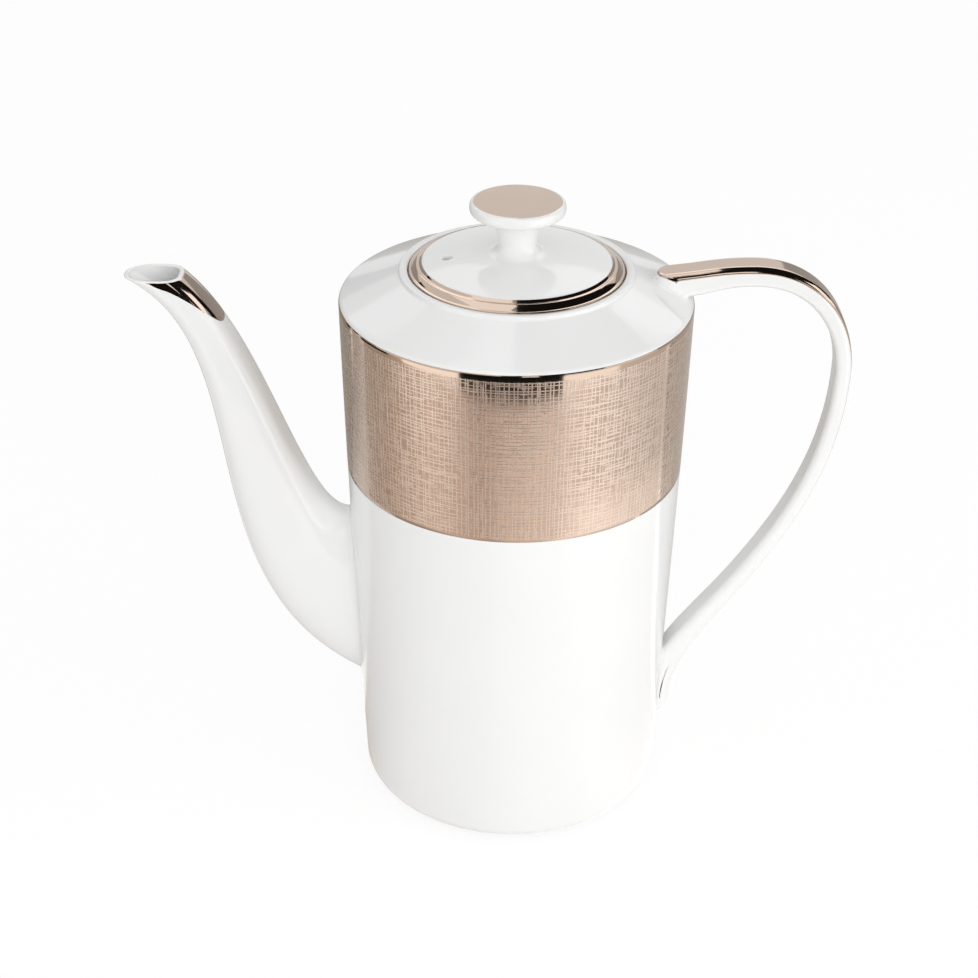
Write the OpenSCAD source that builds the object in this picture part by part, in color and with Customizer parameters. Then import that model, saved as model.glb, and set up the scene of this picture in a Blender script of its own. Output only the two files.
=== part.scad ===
// Coffee pot in glazed bone china with platinum lustre decoration.
// Millimetres. +Z is up, the origin is the middle of the foot on the table,
// the spout points to -X and the handle to +X.

/* [Body] */
// Outer radius at the shoulder, the widest place of the wall
shoulder_r = 55; // [50:0.5:62]
// Height of the shoulder edge above the table
shoulder_z = 175.5; // [150:0.5:215]
// Outer radius of the wall at the table
base_r = 50; // [44:0.5:56]
// How far the wall bows out past a straight taper, at half height
wall_bow = 0.5; // [0:0.1:1.5]
// Radius that rounds the wall into the underside
base_corner = 4.3; // [2:0.1:6]
// Thickness of the wall
wall_t = 3.2; // [2.4:0.1:4]
// Thickness of the floor
floor_t = 4; // [3:0.1:6]
// Radius between the wall and the floor, inside
floor_corner = 7; // [3:0.5:10]
// Radius that rounds the shoulder edge
shoulder_round = 2; // [1:0.1:3]
// Slope of the shoulder, in degrees
shoulder_slope = 24; // [18:0.5:26]

/* [Foot] */
// How far the unglazed foot ring stands in from the wall's foot
foot_in = 5; // [4.5:0.1:10]
// Width of the foot ring's tread
foot_w = 4; // [2.5:0.1:6]
// Height of the foot ring
foot_h = 1.2; // [0.8:0.1:2]

/* [Collar and gallery] */
// Thickness of the collar round the lid
collar_t = 2.75; // [2.3:0.05:4]
// Height of the collar's crest above the shoulder's cone at the collar
collar_rise = 1.2; // [1:0.1:4]
// Radius of the collar's rounded crest
crest_r = 0.8; // [0.5:0.1:1.4]
// Radius where the collar flows into the shoulder
collar_fillet = 0.6; // [0.3:0.1:2.5]
// Depth from the crest down to the ledge that carries the lid
gallery_depth = 2.7; // [2:0.1:5]
// Width of the ledge that carries the lid's rim
ledge_w = 3.5; // [2.5:0.1:5]
// Thickness of the ledge
ledge_t = 3.2; // [2.4:0.1:4]

/* [Lid] */
// Outer radius of the lid's rim
lid_r = 33.3; // [27:0.1:40]
// Height of the lid's rim above the ledge, at its edge
lid_edge = 2.5; // [2:0.1:3.2]
// Width of the rim's broad band
rim_w = 2.5; // [1.5:0.1:3.5]
// Width of the narrow line inside it
line_w = 1.5; // [0.8:0.1:2]
// Rise of the rim's broad band
rim_rise = 1.8; // [1:0.1:2.4]
// Rise of the narrow line inside it
line_rise = 0.6; // [0.3:0.1:1]
// Rise of the dome from its edge to the knob
dome_rise = 2.8; // [2:0.1:5]
// Thickness of the lid
lid_t = 2.8; // [2.2:0.1:3.4]
// Radius of the vent hole
vent_r = 1.5; // [1:0.1:2]
// Distance of the vent hole's middle from the flange
vent_in = 5.1; // [2.5:0.1:12]
// Direction of the vent hole, from the handle, in degrees
vent_angle = 187; // [0:1:360]
// Depth of the flange under the lid
flange_depth = 9; // [6:0.5:14]
// Thickness of the flange
flange_t = 2.6; // [2:0.1:3.2]

/* [Knob] */
// Radius of the knob's flat top
knob_top_r = 13.6; // [11:0.1:16]
// How far the knob's rim stands out past its top
knob_lip = 1.1; // [0.6:0.1:1.8]
// Thickness of the knob's disc
knob_disc = 4.2; // [3:0.1:6]
// Smallest radius of the knob's neck
knob_neck_r = 6.1; // [5:0.1:8]
// Radius of the knob's foot, where it joins the lid
knob_foot_r = 9.5; // [8:0.1:12]
// Height of the knob above the lid
knob_h = 16.4; // [13:0.1:22]

/* [Spout] */
// Depth of the spout's level cut below the lid's ledge
spout_drop = 0.2; // [-4:0.1:4]
// How far the spout's lip reaches past the shoulder
spout_stand = 69; // [58:0.5:83]
// Width across the spout at its lip
spout_tip_w = 14.2; // [10:0.2:18]
// Width across the spout at its root
spout_root_w = 22; // [16:0.5:28]
// Height on the wall of the spout's lower edge
spout_low_z = 35.5; // [25:0.5:50]
// Height on the wall of the spout's upper edge
spout_high_z = 100.5; // [85:0.5:112]
// Thickness of the spout's wall
spout_t = 2.4; // [1.8:0.1:3]
// Thickness of the spout's wall at its lip
lip_t = 1; // [0.8:0.1:2]
// How far inside the spout's channel the edge of the pouring hole is, on each side
port_lip = 0.6; // [0.4:0.1:3]
// Height of the pouring hole's middle above the spout's lower edge
port_rise = 33; // [25:0.5:45]

/* [Handle] */
// Width across the handle
handle_w = 10; // [8:0.2:14]
// Thickness of the handle at its top
handle_top_t = 6.6; // [5:0.1:8]
// Thickness of the handle at its outermost place
handle_side_t = 5; // [4:0.1:7]
// How far the handle's middle line stands out past the shoulder
handle_stand = 48; // [35:0.5:60]
// Height of the handle's middle line at its top, above the shoulder where the handle leaves it
handle_rise = 7.3; // [4:0.1:16]
// Height of the tail's end above the table
tail_z = 26; // [20:0.5:36]

/* [Lustre] */
// Height of the lustre band's lower edge
band_low_z = 120; // [90:0.5:150]
// Thickness of the lustre, as it is modelled
lustre_t = 0.2; // [0.1:0.05:0.4]
// Half of the arc of the handle's section that the lustre stripe covers, in degrees
stripe_arc = 50; // [30:1:60]
// Half of the arc that the lustre covers at the spout's lip, in degrees
lip_arc = 100; // [60:5:120]

/* [Hidden] */

china = "white";
biscuit = "linen";
lustre = "rosybrown";

// Clearances
lid_gap = 0.35;       // lid rim to the gallery's bore
flange_gap = 0.6;     // flange to the mouth

// Fineness
arc_steps = 8;
wall_steps = 12;
bend_steps = 14;      // rings along one stretch of a handle curve
spout_steps = 44;     // rings along the spout
round_fn = 96;

// Derived heights and radii
foot_r = base_r - foot_in;
gallery_r = lid_r + lid_gap;
collar_r = gallery_r + collar_t;
shoulder_centre = [shoulder_r - shoulder_round, shoulder_z];
cone_start = shoulder_centre + shoulder_round * [sin(shoulder_slope), cos(shoulder_slope)];
crest_z = cone_z(collar_r) + collar_rise;
ledge_z = crest_z - gallery_depth;
mouth_r = lid_r - ledge_w;
rim_step_r = lid_r - rim_w;
dome_r = rim_step_r - line_w;
edge_z = ledge_z + lid_edge;
step_z = edge_z + rim_rise;
dome_z = step_z + line_rise;
knob_seat_z = dome_z + dome_rise;
knob_top_z = knob_seat_z + knob_h;
flange_r = mouth_r - flange_gap;
vent_offset = flange_r - flange_t - vent_in;
spout_tip_z = ledge_z - spout_drop;
spout_reach = shoulder_r + spout_stand;
port_r = spout_root_w / 2 - spout_t - port_lip;
port_z = spout_low_z + port_rise;
handle_reach = shoulder_r + handle_stand;

// A curve with four control points, at t from 0 to 1
function curve(c, t) = pow(1 - t, 3) * c[0] + 3 * pow(1 - t, 2) * t * c[1]
    + 3 * (1 - t) * t * t * c[2] + pow(t, 3) * c[3];
// The same with three
function bend(c, t) = pow(1 - t, 2) * c[0] + 2 * (1 - t) * t * c[1] + t * t * c[2];
function mix(a, b, t) = a + (b - a) * t;
function turn_left(v) = [-v[1], v[0]];
// Points of an arc round a centre, from one direction to another
function arc(centre, r, from, to) = [for (i = [0:arc_steps])
    let (a = mix(from, to, i / arc_steps)) centre + r * [cos(a), sin(a)]];

// ---- Body ----

// Outer radius of the wall at height z
function wall_r(z) = let (u = 1 - z / shoulder_z)
    mix(shoulder_r, base_r, u) + 4 * wall_bow * u * (1 - u);
function wall_line(low, high, inset) = [for (i = [0:wall_steps])
    let (z = mix(low, high, i / wall_steps)) [wall_r(z) - inset, z]];

corner_z = foot_h + base_corner;
base_outline = concat([[0, foot_h]],
    arc([wall_r(corner_z) - base_corner, corner_z], base_corner, -90, 0));
shoulder_arc = arc(shoulder_centre, shoulder_round, 0, 90 - shoulder_slope);
// Height of the shoulder's cone at radius r
function cone_z(r) = cone_start[1] + (cone_start[0] - r) * tan(shoulder_slope);
// The crest's rounding is limited by the collar's rise and thickness, and the fillet ends below it
crest_share = 0.75;
crest_round = min(crest_r, crest_share * collar_rise, collar_t / 2);
fillet_room = (collar_rise - crest_round) / (1 / cos(shoulder_slope) - tan(shoulder_slope));
fillet_r = min(collar_fillet, fillet_room);
fillet_centre = [collar_r + fillet_r, cone_z(collar_r + fillet_r) + fillet_r / cos(shoulder_slope)];
collar_outline = concat(arc(fillet_centre, fillet_r, 270 - shoulder_slope, 180),
    arc([collar_r - crest_round, crest_z - crest_round], crest_round, 0, 90),
    arc([gallery_r + crest_round, crest_z - crest_round], crest_round, 90, 180));
upper_outline = concat(shoulder_arc, collar_outline);

// The plain outside, without the recess for the lustre
outer_outline = concat(base_outline, wall_line(corner_z, shoulder_z, 0), upper_outline);
recessed_outline = concat(base_outline, wall_line(corner_z, band_low_z, 0),
    wall_line(band_low_z, shoulder_z, lustre_t), upper_outline);

floor_z = foot_h + floor_t;
inner_corner_z = floor_z + floor_corner;
inner_r = shoulder_r - wall_t;
inner_shoulder_z = cone_z(inner_r) - wall_t / cos(shoulder_slope);
neck_r = collar_r + fillet_r;
neck_z = inner_shoulder_z + (inner_r - neck_r) * tan(shoulder_slope);
hollow_outline = concat(
    [[gallery_r, ledge_z], [mouth_r, ledge_z], [mouth_r, ledge_z - ledge_t]],
    [[neck_r, min(neck_z, ledge_z - ledge_t)]],
    wall_line(inner_shoulder_z, inner_corner_z, wall_t),
    arc([wall_r(inner_corner_z) - wall_t - floor_corner, inner_corner_z], floor_corner, 0, -90),
    [[0, floor_z]]);

// Everything inside the plain outside, for trimming what is joined to it
module body_block() {
    rotate_extrude($fn = round_fn)
        polygon(concat(outer_outline, [[0, crest_z - crest_round]]));
}

module body_shell() {
    color(china)
    difference() {
        rotate_extrude($fn = round_fn)
            polygon(concat(recessed_outline, hollow_outline));
        translate([0, 0, port_z])
            rotate([0, -90, 0])
                cylinder(r = port_r, h = shoulder_r * 1.2, $fn = round_fn);
    }
}

module foot_ring() {
    tread_round = foot_h / 3;
    color(biscuit)
    rotate_extrude($fn = round_fn)
        polygon([[foot_r - foot_w, foot_h],
            [foot_r - foot_w, tread_round],
            [foot_r - foot_w + tread_round, 0],
            [foot_r - tread_round, 0],
            [foot_r, tread_round],
            [foot_r, foot_h]]);
}

module body_band_lustre() {
    color(lustre)
    rotate_extrude($fn = round_fn)
        polygon(concat(wall_line(band_low_z, shoulder_z, 0), wall_line(shoulder_z, band_low_z, lustre_t)));
}

// ---- Meshes swept from rings ----

// Triangles of a grid of points, listed row by row
function grid_faces(rows, cols, base, flip) = [for (i = [0:rows - 2], j = [0:cols - 2])
    let (a = base + i * cols + j, b = a + 1, c = a + cols + 1, d = a + cols)
    each flip ? [[a, b, c], [a, c, d]] : [[a, c, b], [a, d, c]]];
// Triangles of a wall between a point of one list and its twin in another
function seam_faces(pairs, flip) = [for (k = [0:len(pairs) - 2])
    let (a = pairs[k][0], b = pairs[k + 1][0], c = pairs[k + 1][1], d = pairs[k][1])
    each flip ? [[a, c, b], [a, d, c]] : [[a, b, c], [a, c, d]]];

// A closed tube through rings of points, each ring in the same order
module swept(rings) {
    rows = len(rings);
    cols = len(rings[0]);
    side = [for (i = [0:rows - 2], j = [0:cols - 1])
        let (k = (j + 1) % cols, a = i * cols + j, b = i * cols + k, c = a + cols, d = b + cols)
        each [[a, d, b], [a, c, d]]];
    first_cap = [for (j = [0:cols - 1]) j];
    last_cap = [for (j = [cols - 1:-1:0]) (rows - 1) * cols + j];
    polyhedron([for (r = rings) each r], concat(side, [first_cap, last_cap]));
}

// A thin sheet between two grids of points that match
module sheet(under, over) {
    rows = len(under);
    cols = len(under[0]);
    n = rows * cols;
    left = [for (i = [0:rows - 1]) [i * cols, n + i * cols]];
    right = [for (i = [0:rows - 1]) [i * cols + cols - 1, n + i * cols + cols - 1]];
    start = [for (j = [0:cols - 1]) [j, n + j]];
    finish = [for (j = [0:cols - 1]) [n - cols + j, 2 * n - cols + j]];
    polyhedron([for (r = concat(under, over)) each r],
        concat(grid_faces(rows, cols, n, false), grid_faces(rows, cols, 0, true),
            seam_faces(left, false), seam_faces(right, true),
            seam_faces(start, true), seam_faces(finish, false)));
}

// ---- Spout ----

// The spout's outlines in the XZ plane: its underside, and its back, which faces the pot.
// Each inner control point is a step in from the lip's reach, and up from the root or down from the cut.
belly = [9.4, 35.5];   // underside, near the root
throat = [48.5, 19.3]; // underside, near the lip
nape = [53.5, -10];    // back, near the root
brow = [47.3, 15.5];   // back, near the lip
mouth_length = 16.1;   // along the spout's opening
lip_over = 1.1;        // how far the outlines run on above the level cut
back_over = 3.6;
spout_root_x = wall_r(spout_high_z) - wall_t;
spout_under = [[-spout_root_x, spout_low_z], [-spout_reach + belly[0], spout_low_z + belly[1]],
    [-spout_reach + throat[0], spout_tip_z - throat[1]], [-spout_reach, spout_tip_z + lip_over]];
spout_back = [[-spout_root_x, spout_high_z], [-spout_reach + nape[0], spout_high_z + nape[1]],
    [-spout_reach + brow[0], spout_tip_z - brow[1]], [-spout_reach + mouth_length, spout_tip_z + back_over]];
lip_rings = 9;        // the lustre covers the spout's last rings, this many
lip_start = 1 - lip_rings / spout_steps;
patch_cols = 13;      // points across the lustre
open_cols = 15;       // points across the rest

root_arc = 35;        // half of the arc between the marked columns, down the spout
// How square the section is: 2 is an ellipse. The back grows squarer up the spout, and eases at the lip.
under_square = 2.2;
root_square = 2.2;
back_square = 3.2;
lip_square = 3.1;
square_from = 0.12;   // where the back starts and stops growing squarer
square_to = 0.4;

// Half of the arc between the spout's two marked columns, which the lustre fills near the lip
function patch_arc(t) = mix(root_arc, lip_arc, max(0, (t - lip_start) / (1 - lip_start)));
spout_cols = concat([for (k = [0:patch_cols - 1]) [0, k / (patch_cols - 1)]],
    [for (k = [1:open_cols]) [1, k / (open_cols + 1)]]);
function column_angle(t, c) = c[0] == 0 ? mix(-patch_arc(t), patch_arc(t), c[1])
    : mix(patch_arc(t), 360 - patch_arc(t), c[1]);
function ease(t) = let (u = min(1, max(0, t))) u * u * (3 - 2 * u);
function back_power(t) =
    let (up = mix(root_square, back_square, ease((t - square_from) / (square_to - square_from))))
    mix(up, lip_square, ease((t - square_to) / (1 - square_to)));
// A cosine or sine pushed outwards, so that an ellipse becomes squarer
function pushed(v, power) = sign(v) * pow(abs(v), 2 / power);
// Thickness of the spout's wall: it thins as the cube of t, from the root to the lip
function spout_wall(t) = mix(spout_t, lip_t, pow(t, 3));
// One ring of the spout, shrunk by walls times its wall, and grown by grow
function spout_ring(t, walls, grow) =
    let (u = curve(spout_under, t), b = curve(spout_back, t), inset = walls * spout_wall(t) - grow,
        centre = (u + b) / 2, half = norm(b - u) / 2, dir = (b - u) / (2 * half),
        wide = mix(spout_root_w, spout_tip_w, t) / 2)
    [for (c = spout_cols) let (a = column_angle(t, c), power = cos(a) > 0 ? back_power(t) : under_square,
        p = centre + dir * (half - inset) * pushed(cos(a), power))
        [p[0], (wide - inset) * pushed(sin(a), power), p[1]]];
function spout_rings(walls, grow, from, to, steps) = [for (i = [0:steps])
    spout_ring(mix(from, to, i / steps), walls, grow)];
// The root ring moved into the pot, so that the trimmed end follows the wall
root_run_in = 8;
function moved(ring, dx) = [for (p = ring) p + [dx, 0, 0]];
function spout_body(walls) = let (rings = spout_rings(walls, 0, 0, 1, spout_steps))
    concat([moved(rings[0], root_run_in)], rings);

module lip_cut() {
    over = 40;
    translate([-spout_reach - over / 2, -over / 2, spout_tip_z])
        cube([2 * over, over, over]);
}

module spout() {
    color(china)
    difference() {
        swept(spout_body(0));
        swept(spout_body(1));
        body_block();
        lip_cut();
    }
}

module spout_lip_lustre() {
    under = [for (r = spout_rings(0, 0, lip_start, 1, lip_rings)) [for (k = [0:patch_cols - 1]) r[k]]];
    over = [for (r = spout_rings(0, lustre_t, lip_start, 1, lip_rings)) [for (k = [0:patch_cols - 1]) r[k]]];
    color(lustre)
    difference() {
        sheet(under, over);
        lip_cut();
    }
}

// ---- Handle ----

// The handle's middle line in the XZ plane: over the top, round the side, down to the tail,
// and a short end that rounds into the wall
nose_gap = 5.8;       // the handle's rounded nose, out from the collar
nose_run = 10;        // length of the root, up to where the handle starts to rise
nose_roll = 1.5;      // radius between the nose and the handle's top
nose_depth = 12;      // how far the root's columns reach down into the body
root_drop = 2.7;      // the root's middle line below the top's
root_slope = 0.13;    // how steeply the root rises
root_lead = 5.5;      // how far the middle line keeps that slope
apex_in = 18;         // the top of the line, out from the shoulder
apex_ease = [9.5, 22]; // how far the line stays level on the pot's side of the top, and past it
side_drop = 23;       // the outermost place below the shoulder
side_ease = [13.5, 64.5];   // how far the line stays upright above and below that place
tail_pull = [1.5, 31.5];    // what sets the tail's slope
tail_end = [1.6, 4];        // the rounded end: into the wall, and down
handle_side_z = shoulder_z - side_drop;
nose_x = collar_r + nose_gap + crest_r;
root_x = nose_x + nose_run;
handle_top_z = cone_z(root_x) + handle_rise;
root = [root_x, handle_top_z - root_drop];
apex = [shoulder_r + apex_in, handle_top_z];
side = [handle_reach, handle_side_z];
tail = [wall_r(tail_z), tail_z];
handle_curves = [
    [root, root + root_lead * [1, root_slope], apex - [apex_ease[0], 0], apex],
    [apex, apex + [apex_ease[1], 0], side + [0, side_ease[0]], side],
    [side, side - [0, side_ease[1]], tail + [-tail_pull[0], tail_pull[1]], tail],
    [tail, tail - tail_end / 3, tail - tail_end * 2 / 3, tail - tail_end]];
root_t = 8;           // thickness where the handle leaves the shoulder
tail_t = 5.4;         // thickness at the tail
tail_spread = 3.2;    // what its inner side adds to that, where the tail spreads on the wall
spread_from = 2.5;    // where along the handle the spread starts
stretch_t = [root_t, handle_top_t, handle_side_t, tail_t];
handle_square = 5;    // how square the handle's section is: 2 is an ellipse
face_cols = 9;        // points across the lustre stripe
back_cols = 15;       // points round the rest
end_steps = 6;        // rings along the rounded end
end_round = 0.95;     // how far round its quarter turn the end goes

// A position along the handle: s runs from 0 at the root to 3 at the tail and 4 at the rounded end
function handle_point(s) = let (k = min(floor(s), 3)) curve(handle_curves[k], s - k);
function handle_dir(s) = let (d = 0.01, v = handle_point(min(3, s + d)) - handle_point(max(0, min(3, s) - d)))
    v / norm(v);
function handle_spread(s) = tail_spread * ease((s - spread_from) / (3 - spread_from));
function handle_t(s) = let (k = min(floor(s), 2))
    s > 3 ? (tail_t + tail_spread) * sqrt(1 - pow(end_round * (s - 3), 2))
    : mix(stretch_t[k], stretch_t[k + 1], s - k) + handle_spread(s);
// The section, x outwards and y across: the lustre's columns on the outer face, then round the rest
stripe_angles = [for (k = [0:face_cols - 1]) mix(-stripe_arc, stripe_arc, k / (face_cols - 1))];
handle_angles = concat(stripe_angles,
    [for (k = [1:back_cols]) mix(stripe_arc, 360 - stripe_arc, k / (back_cols + 1))]);
function handle_section(t, grow) = [for (a = grow > 0 ? stripe_angles : handle_angles)
    [(t / 2 + grow) * pushed(cos(a), handle_square), (handle_w / 2 + grow) * pushed(sin(a), handle_square)]];
function handle_ring(s, grow) =
    let (out = turn_left(handle_dir(s)), p = handle_point(s) - out * handle_spread(s) / 2)
    [for (q = handle_section(handle_t(s), grow)) [p[0] + out[0] * q[0], -q[1], p[1] + out[1] * q[0]]];
long_stations = [for (i = [0:3 * bend_steps]) i / bend_steps];
end_stations = [for (i = [1:end_steps]) 3 + i / end_steps];

// The root: each point of the section goes up out of the body, rolls over and runs out along the handle.
// Seen from above its nose is round, and it squares off towards the underside.
function nose_curve(y) = handle_w / 2 - sqrt(max(0, pow(handle_w / 2, 2) - y * y));
function nose_point(q, s, grow) =
    let (high = 0.5 + q[0] / (root_t + 2 * grow), back = nose_curve(min(abs(q[1]), handle_w / 2)) * high,
        x = nose_x - grow + root_t * (1 - high) + back,
        z = root[1] + q[0] + root_slope * (x + nose_roll - root[0]))
    s < 0 ? [x, z - nose_roll + s * nose_depth]
    : s < 1 ? [x + nose_roll * (1 - cos(90 * s)), z - nose_roll * (1 - sin(90 * s))]
    : [mix(x + nose_roll, root[0], s - 1), mix(z, root[1] + q[0], s - 1)];
function nose_ring(s, grow) = [for (q = handle_section(root_t, grow)) let (p = nose_point(q, s, grow))
    [p[0], -q[1], p[1]]];
roll_steps = 5;       // rings round the nose's roll
nose_stations = concat([-1, -0.4], [for (i = [0:roll_steps]) i / roll_steps], [1.25, 1.5, 1.75]);
stripe_stations = [for (s = nose_stations) if (s >= 0) s];

module handle() {
    color(china)
    difference() {
        swept(concat([for (s = nose_stations) nose_ring(s, 0)],
            [for (s = concat(long_stations, end_stations)) handle_ring(s, 0)]));
        body_block();
    }
}

module handle_stripe_lustre() {
    // the lustre starts at the foot of the nose's roll
    under = concat([for (s = stripe_stations) [for (k = [0:face_cols - 1]) nose_ring(s, 0)[k]]],
        [for (s = long_stations) [for (k = [0:face_cols - 1]) handle_ring(s, 0)[k]]]);
    over = concat([for (s = stripe_stations) nose_ring(s, lustre_t)],
        [for (s = long_stations) handle_ring(s, lustre_t)]);
    color(lustre)
    sheet(under, over);
}

// ---- Lid ----

rim_crown = 0.35;     // how far the broad band bows out
line_bend = [0.5, 0.6];     // the bend in the line's profile, as parts of its run and its rise
// The lid's outside from its edge to the knob's seat, shrunk by inset
function lid_top(inset) = concat(
    [for (i = [0:arc_steps]) let (t = i / arc_steps)
        [mix(lid_r, rim_step_r, t), mix(edge_z, step_z, t) + 4 * rim_crown * t * (1 - t) - inset]],
    [[mix(rim_step_r, dome_r, line_bend[0]), mix(step_z, dome_z, line_bend[1]) - inset],
        [dome_r, dome_z - inset]]);
function dome(inset) = [for (i = [0:wall_steps]) let (t = i / wall_steps)
    [mix(dome_r, knob_foot_r, t), dome_z + dome_rise * sin(90 * t) - inset]];

module lid_shell() {
    color(china)
    difference() {
        rotate_extrude($fn = round_fn)
            polygon(concat([[lid_r, ledge_z]], lid_top(lustre_t), dome(0),
                [[0, knob_seat_z], [0, knob_seat_z - lid_t]],
                [for (i = [wall_steps:-1:0]) let (p = dome(lid_t)[i]) [min(p[0], flange_r - flange_t), p[1]]],
                [[flange_r - flange_t, ledge_z], [flange_r, ledge_z]]));
        rotate([0, 0, vent_angle])
            translate([vent_offset, 0, ledge_z])
                cylinder(r = vent_r, h = lid_edge + rim_rise + line_rise + dome_rise + lid_t, $fn = round_fn);
    }
}

module lid_flange() {
    edge = flange_t / 3;      // chamfer of the flange's lower edge
    inner_r = flange_r - flange_t;
    low_z = ledge_z - flange_depth;
    color(china)
    rotate_extrude($fn = round_fn)
        polygon([[inner_r, ledge_z], [flange_r, ledge_z],
            [flange_r, low_z + edge], [flange_r - edge, low_z],
            [inner_r + edge, low_z], [inner_r, low_z + edge]]);
}

module lid_rim_lustre() {
    top = lid_top(0);
    under = lid_top(lustre_t);
    color(lustre)
    rotate_extrude($fn = round_fn)
        polygon(concat(top, [for (i = [len(under) - 1:-1:0]) under[i]]));
}

// ---- Knob ----

disc_roll = 1.8;      // how far the disc's underside starts in from its rim
neck_share = 0.3;     // height of the neck's narrow place, as a part of the knob's height
flare = [0.9, 1.6];   // how the neck spreads at its foot: outwards, and how high up it starts

module knob() {
    top_z = knob_top_z - lustre_t;
    rim_r = knob_top_r + knob_lip;
    rim_z = knob_top_z - knob_disc / 2;
    under_z = knob_top_z - knob_disc;
    neck_z = knob_seat_z + knob_h * neck_share;
    // from the top's edge round the rim, back under the disc to the neck, and out to the foot
    rim = [[knob_top_r, top_z], [rim_r, top_z], [rim_r, rim_z]];
    roll = [[rim_r, rim_z], [rim_r, under_z], [rim_r - disc_roll, under_z]];
    under = [[rim_r - disc_roll, under_z], [knob_neck_r + 1, under_z - 0.6],
        [knob_neck_r, under_z - 2], [knob_neck_r, neck_z]];
    foot = [[knob_neck_r, neck_z], [knob_neck_r, knob_seat_z + flare[1]],
        [knob_neck_r + flare[0], knob_seat_z + 0.5], [knob_foot_r, knob_seat_z]];
    color(china)
    rotate_extrude($fn = round_fn)
        polygon(concat([[0, knob_seat_z], [0, top_z]],
            [for (i = [0:arc_steps]) bend(rim, i / arc_steps)],
            [for (i = [1:arc_steps]) bend(roll, i / arc_steps)],
            [for (i = [1:arc_steps]) curve(under, i / arc_steps)],
            [for (i = [1:arc_steps]) curve(foot, i / arc_steps)]));
}

module knob_cap_lustre() {
    color(lustre)
    translate([0, 0, knob_top_z - lustre_t])
        cylinder(r = knob_top_r, h = lustre_t, $fn = round_fn);
}

body_shell();
foot_ring();
spout();
handle();
body_band_lustre();
spout_lip_lustre();
handle_stripe_lustre();
lid_shell();
lid_flange();
lid_rim_lustre();
knob();
knob_cap_lustre();
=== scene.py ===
import math

import bmesh
import bpy
import numpy as np
from mathutils import Matrix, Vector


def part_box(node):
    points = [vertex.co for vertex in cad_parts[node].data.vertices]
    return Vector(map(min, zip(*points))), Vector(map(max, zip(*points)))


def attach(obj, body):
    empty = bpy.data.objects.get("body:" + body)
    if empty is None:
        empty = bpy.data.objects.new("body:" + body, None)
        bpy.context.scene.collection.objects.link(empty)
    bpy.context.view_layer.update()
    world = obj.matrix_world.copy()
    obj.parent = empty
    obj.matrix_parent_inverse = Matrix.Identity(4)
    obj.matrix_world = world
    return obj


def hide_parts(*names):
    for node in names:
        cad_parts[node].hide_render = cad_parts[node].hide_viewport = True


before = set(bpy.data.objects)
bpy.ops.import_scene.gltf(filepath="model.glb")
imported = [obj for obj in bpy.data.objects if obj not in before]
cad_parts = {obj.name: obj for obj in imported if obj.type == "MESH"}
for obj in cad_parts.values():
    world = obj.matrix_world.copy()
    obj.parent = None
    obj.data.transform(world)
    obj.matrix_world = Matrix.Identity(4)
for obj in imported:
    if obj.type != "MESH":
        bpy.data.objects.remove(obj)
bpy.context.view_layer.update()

# A glazed china coffee pot with platinum lustre decoration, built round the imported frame.
# Sizes are in millimetres in the frame's axes, and become metres when a mesh is made.

MM = 0.001


def corners(node):
    """A node's lowest and highest corners, in millimetres to a hundredth."""
    low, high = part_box(node)
    return np.round(np.array(low) / MM, 2), np.round(np.array(high) / MM, 2)


# ---- Sizes ----

# Body, from the frame and the wall's own shape
SHOULDER_R = corners("body_shell")[1][0]
CREST_Z = corners("body_shell")[1][2]
BAND_LOW_Z = corners("body_band_lustre")[0][2]
SHOULDER_Z = corners("body_band_lustre")[1][2]
BASE_R = 50
BAND_H = SHOULDER_Z - BAND_LOW_Z
BAND_TURN = 30            # degrees that the band turns over the shoulder's rounding
WALL_BOW = 0.5
WALL_T = 3.2
BASE_CORNER = 4.3
FLOOR_T = 4
FLOOR_CORNER = 7
SHOULDER_ROUND = 2
SHOULDER_SLOPE = 24
COLLAR_R = 36.4
CREST_R = 0.8
COLLAR_FILLET = 0.6
LEDGE_T = 3.2
MOUTH_R = 29.8
PORT_R = 8
PORT_Z = 68.5

# Foot
FOOT_R = corners("foot_ring")[1][0]
FOOT_H = corners("foot_ring")[1][2]
FOOT_W = 4

# Lid and knob
LID_R = corners("lid_shell")[1][0]
LEDGE_Z = corners("lid_shell")[0][2]
KNOB_SEAT_Z = corners("lid_shell")[1][2]
FLANGE_R = corners("lid_flange")[1][0]
FLANGE_LOW_Z = corners("lid_flange")[0][2]
FLANGE_T = 2.6
LID_T = 2.8
LID_GAP = 0.35
LID_EDGE = 2.5
DOME_R = 29.3
RIM_RISE = 2.4
EDGE_Z = LEDGE_Z + LID_EDGE
DOME_Z = EDGE_Z + RIM_RISE
VENT_R = 1.5
VENT_OFFSET = 21.5
VENT_ANGLE = 187
CAP_R = corners("knob_cap_lustre")[1][0]
KNOB_TOP_Z = corners("knob_cap_lustre")[1][2]
KNOB_LIP = 1.1
KNOB_DISC = 4.2
KNOB_NECK_R = 5.9
KNOB_FOOT_R = 9.5
KNOB_FOOT_SPREAD = 0.6    # how far the knob's foot runs out over the dome

# Spout: its outlines in the XZ plane run from the root to the lip
SPOUT_TIP_Z = corners("spout")[1][2]
SPOUT_ROOT_W = 22
SPOUT_TIP_W = 14.2
SPOUT_T = 2.4
LIP_T = 1
LIP_RISE = LIP_T * 0.42    # how far the lip's rounding stands over the walls' ends
SPOUT_FILLET = 1.6
LIP_ARC = 100
LIP_LENGTH = 17
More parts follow.
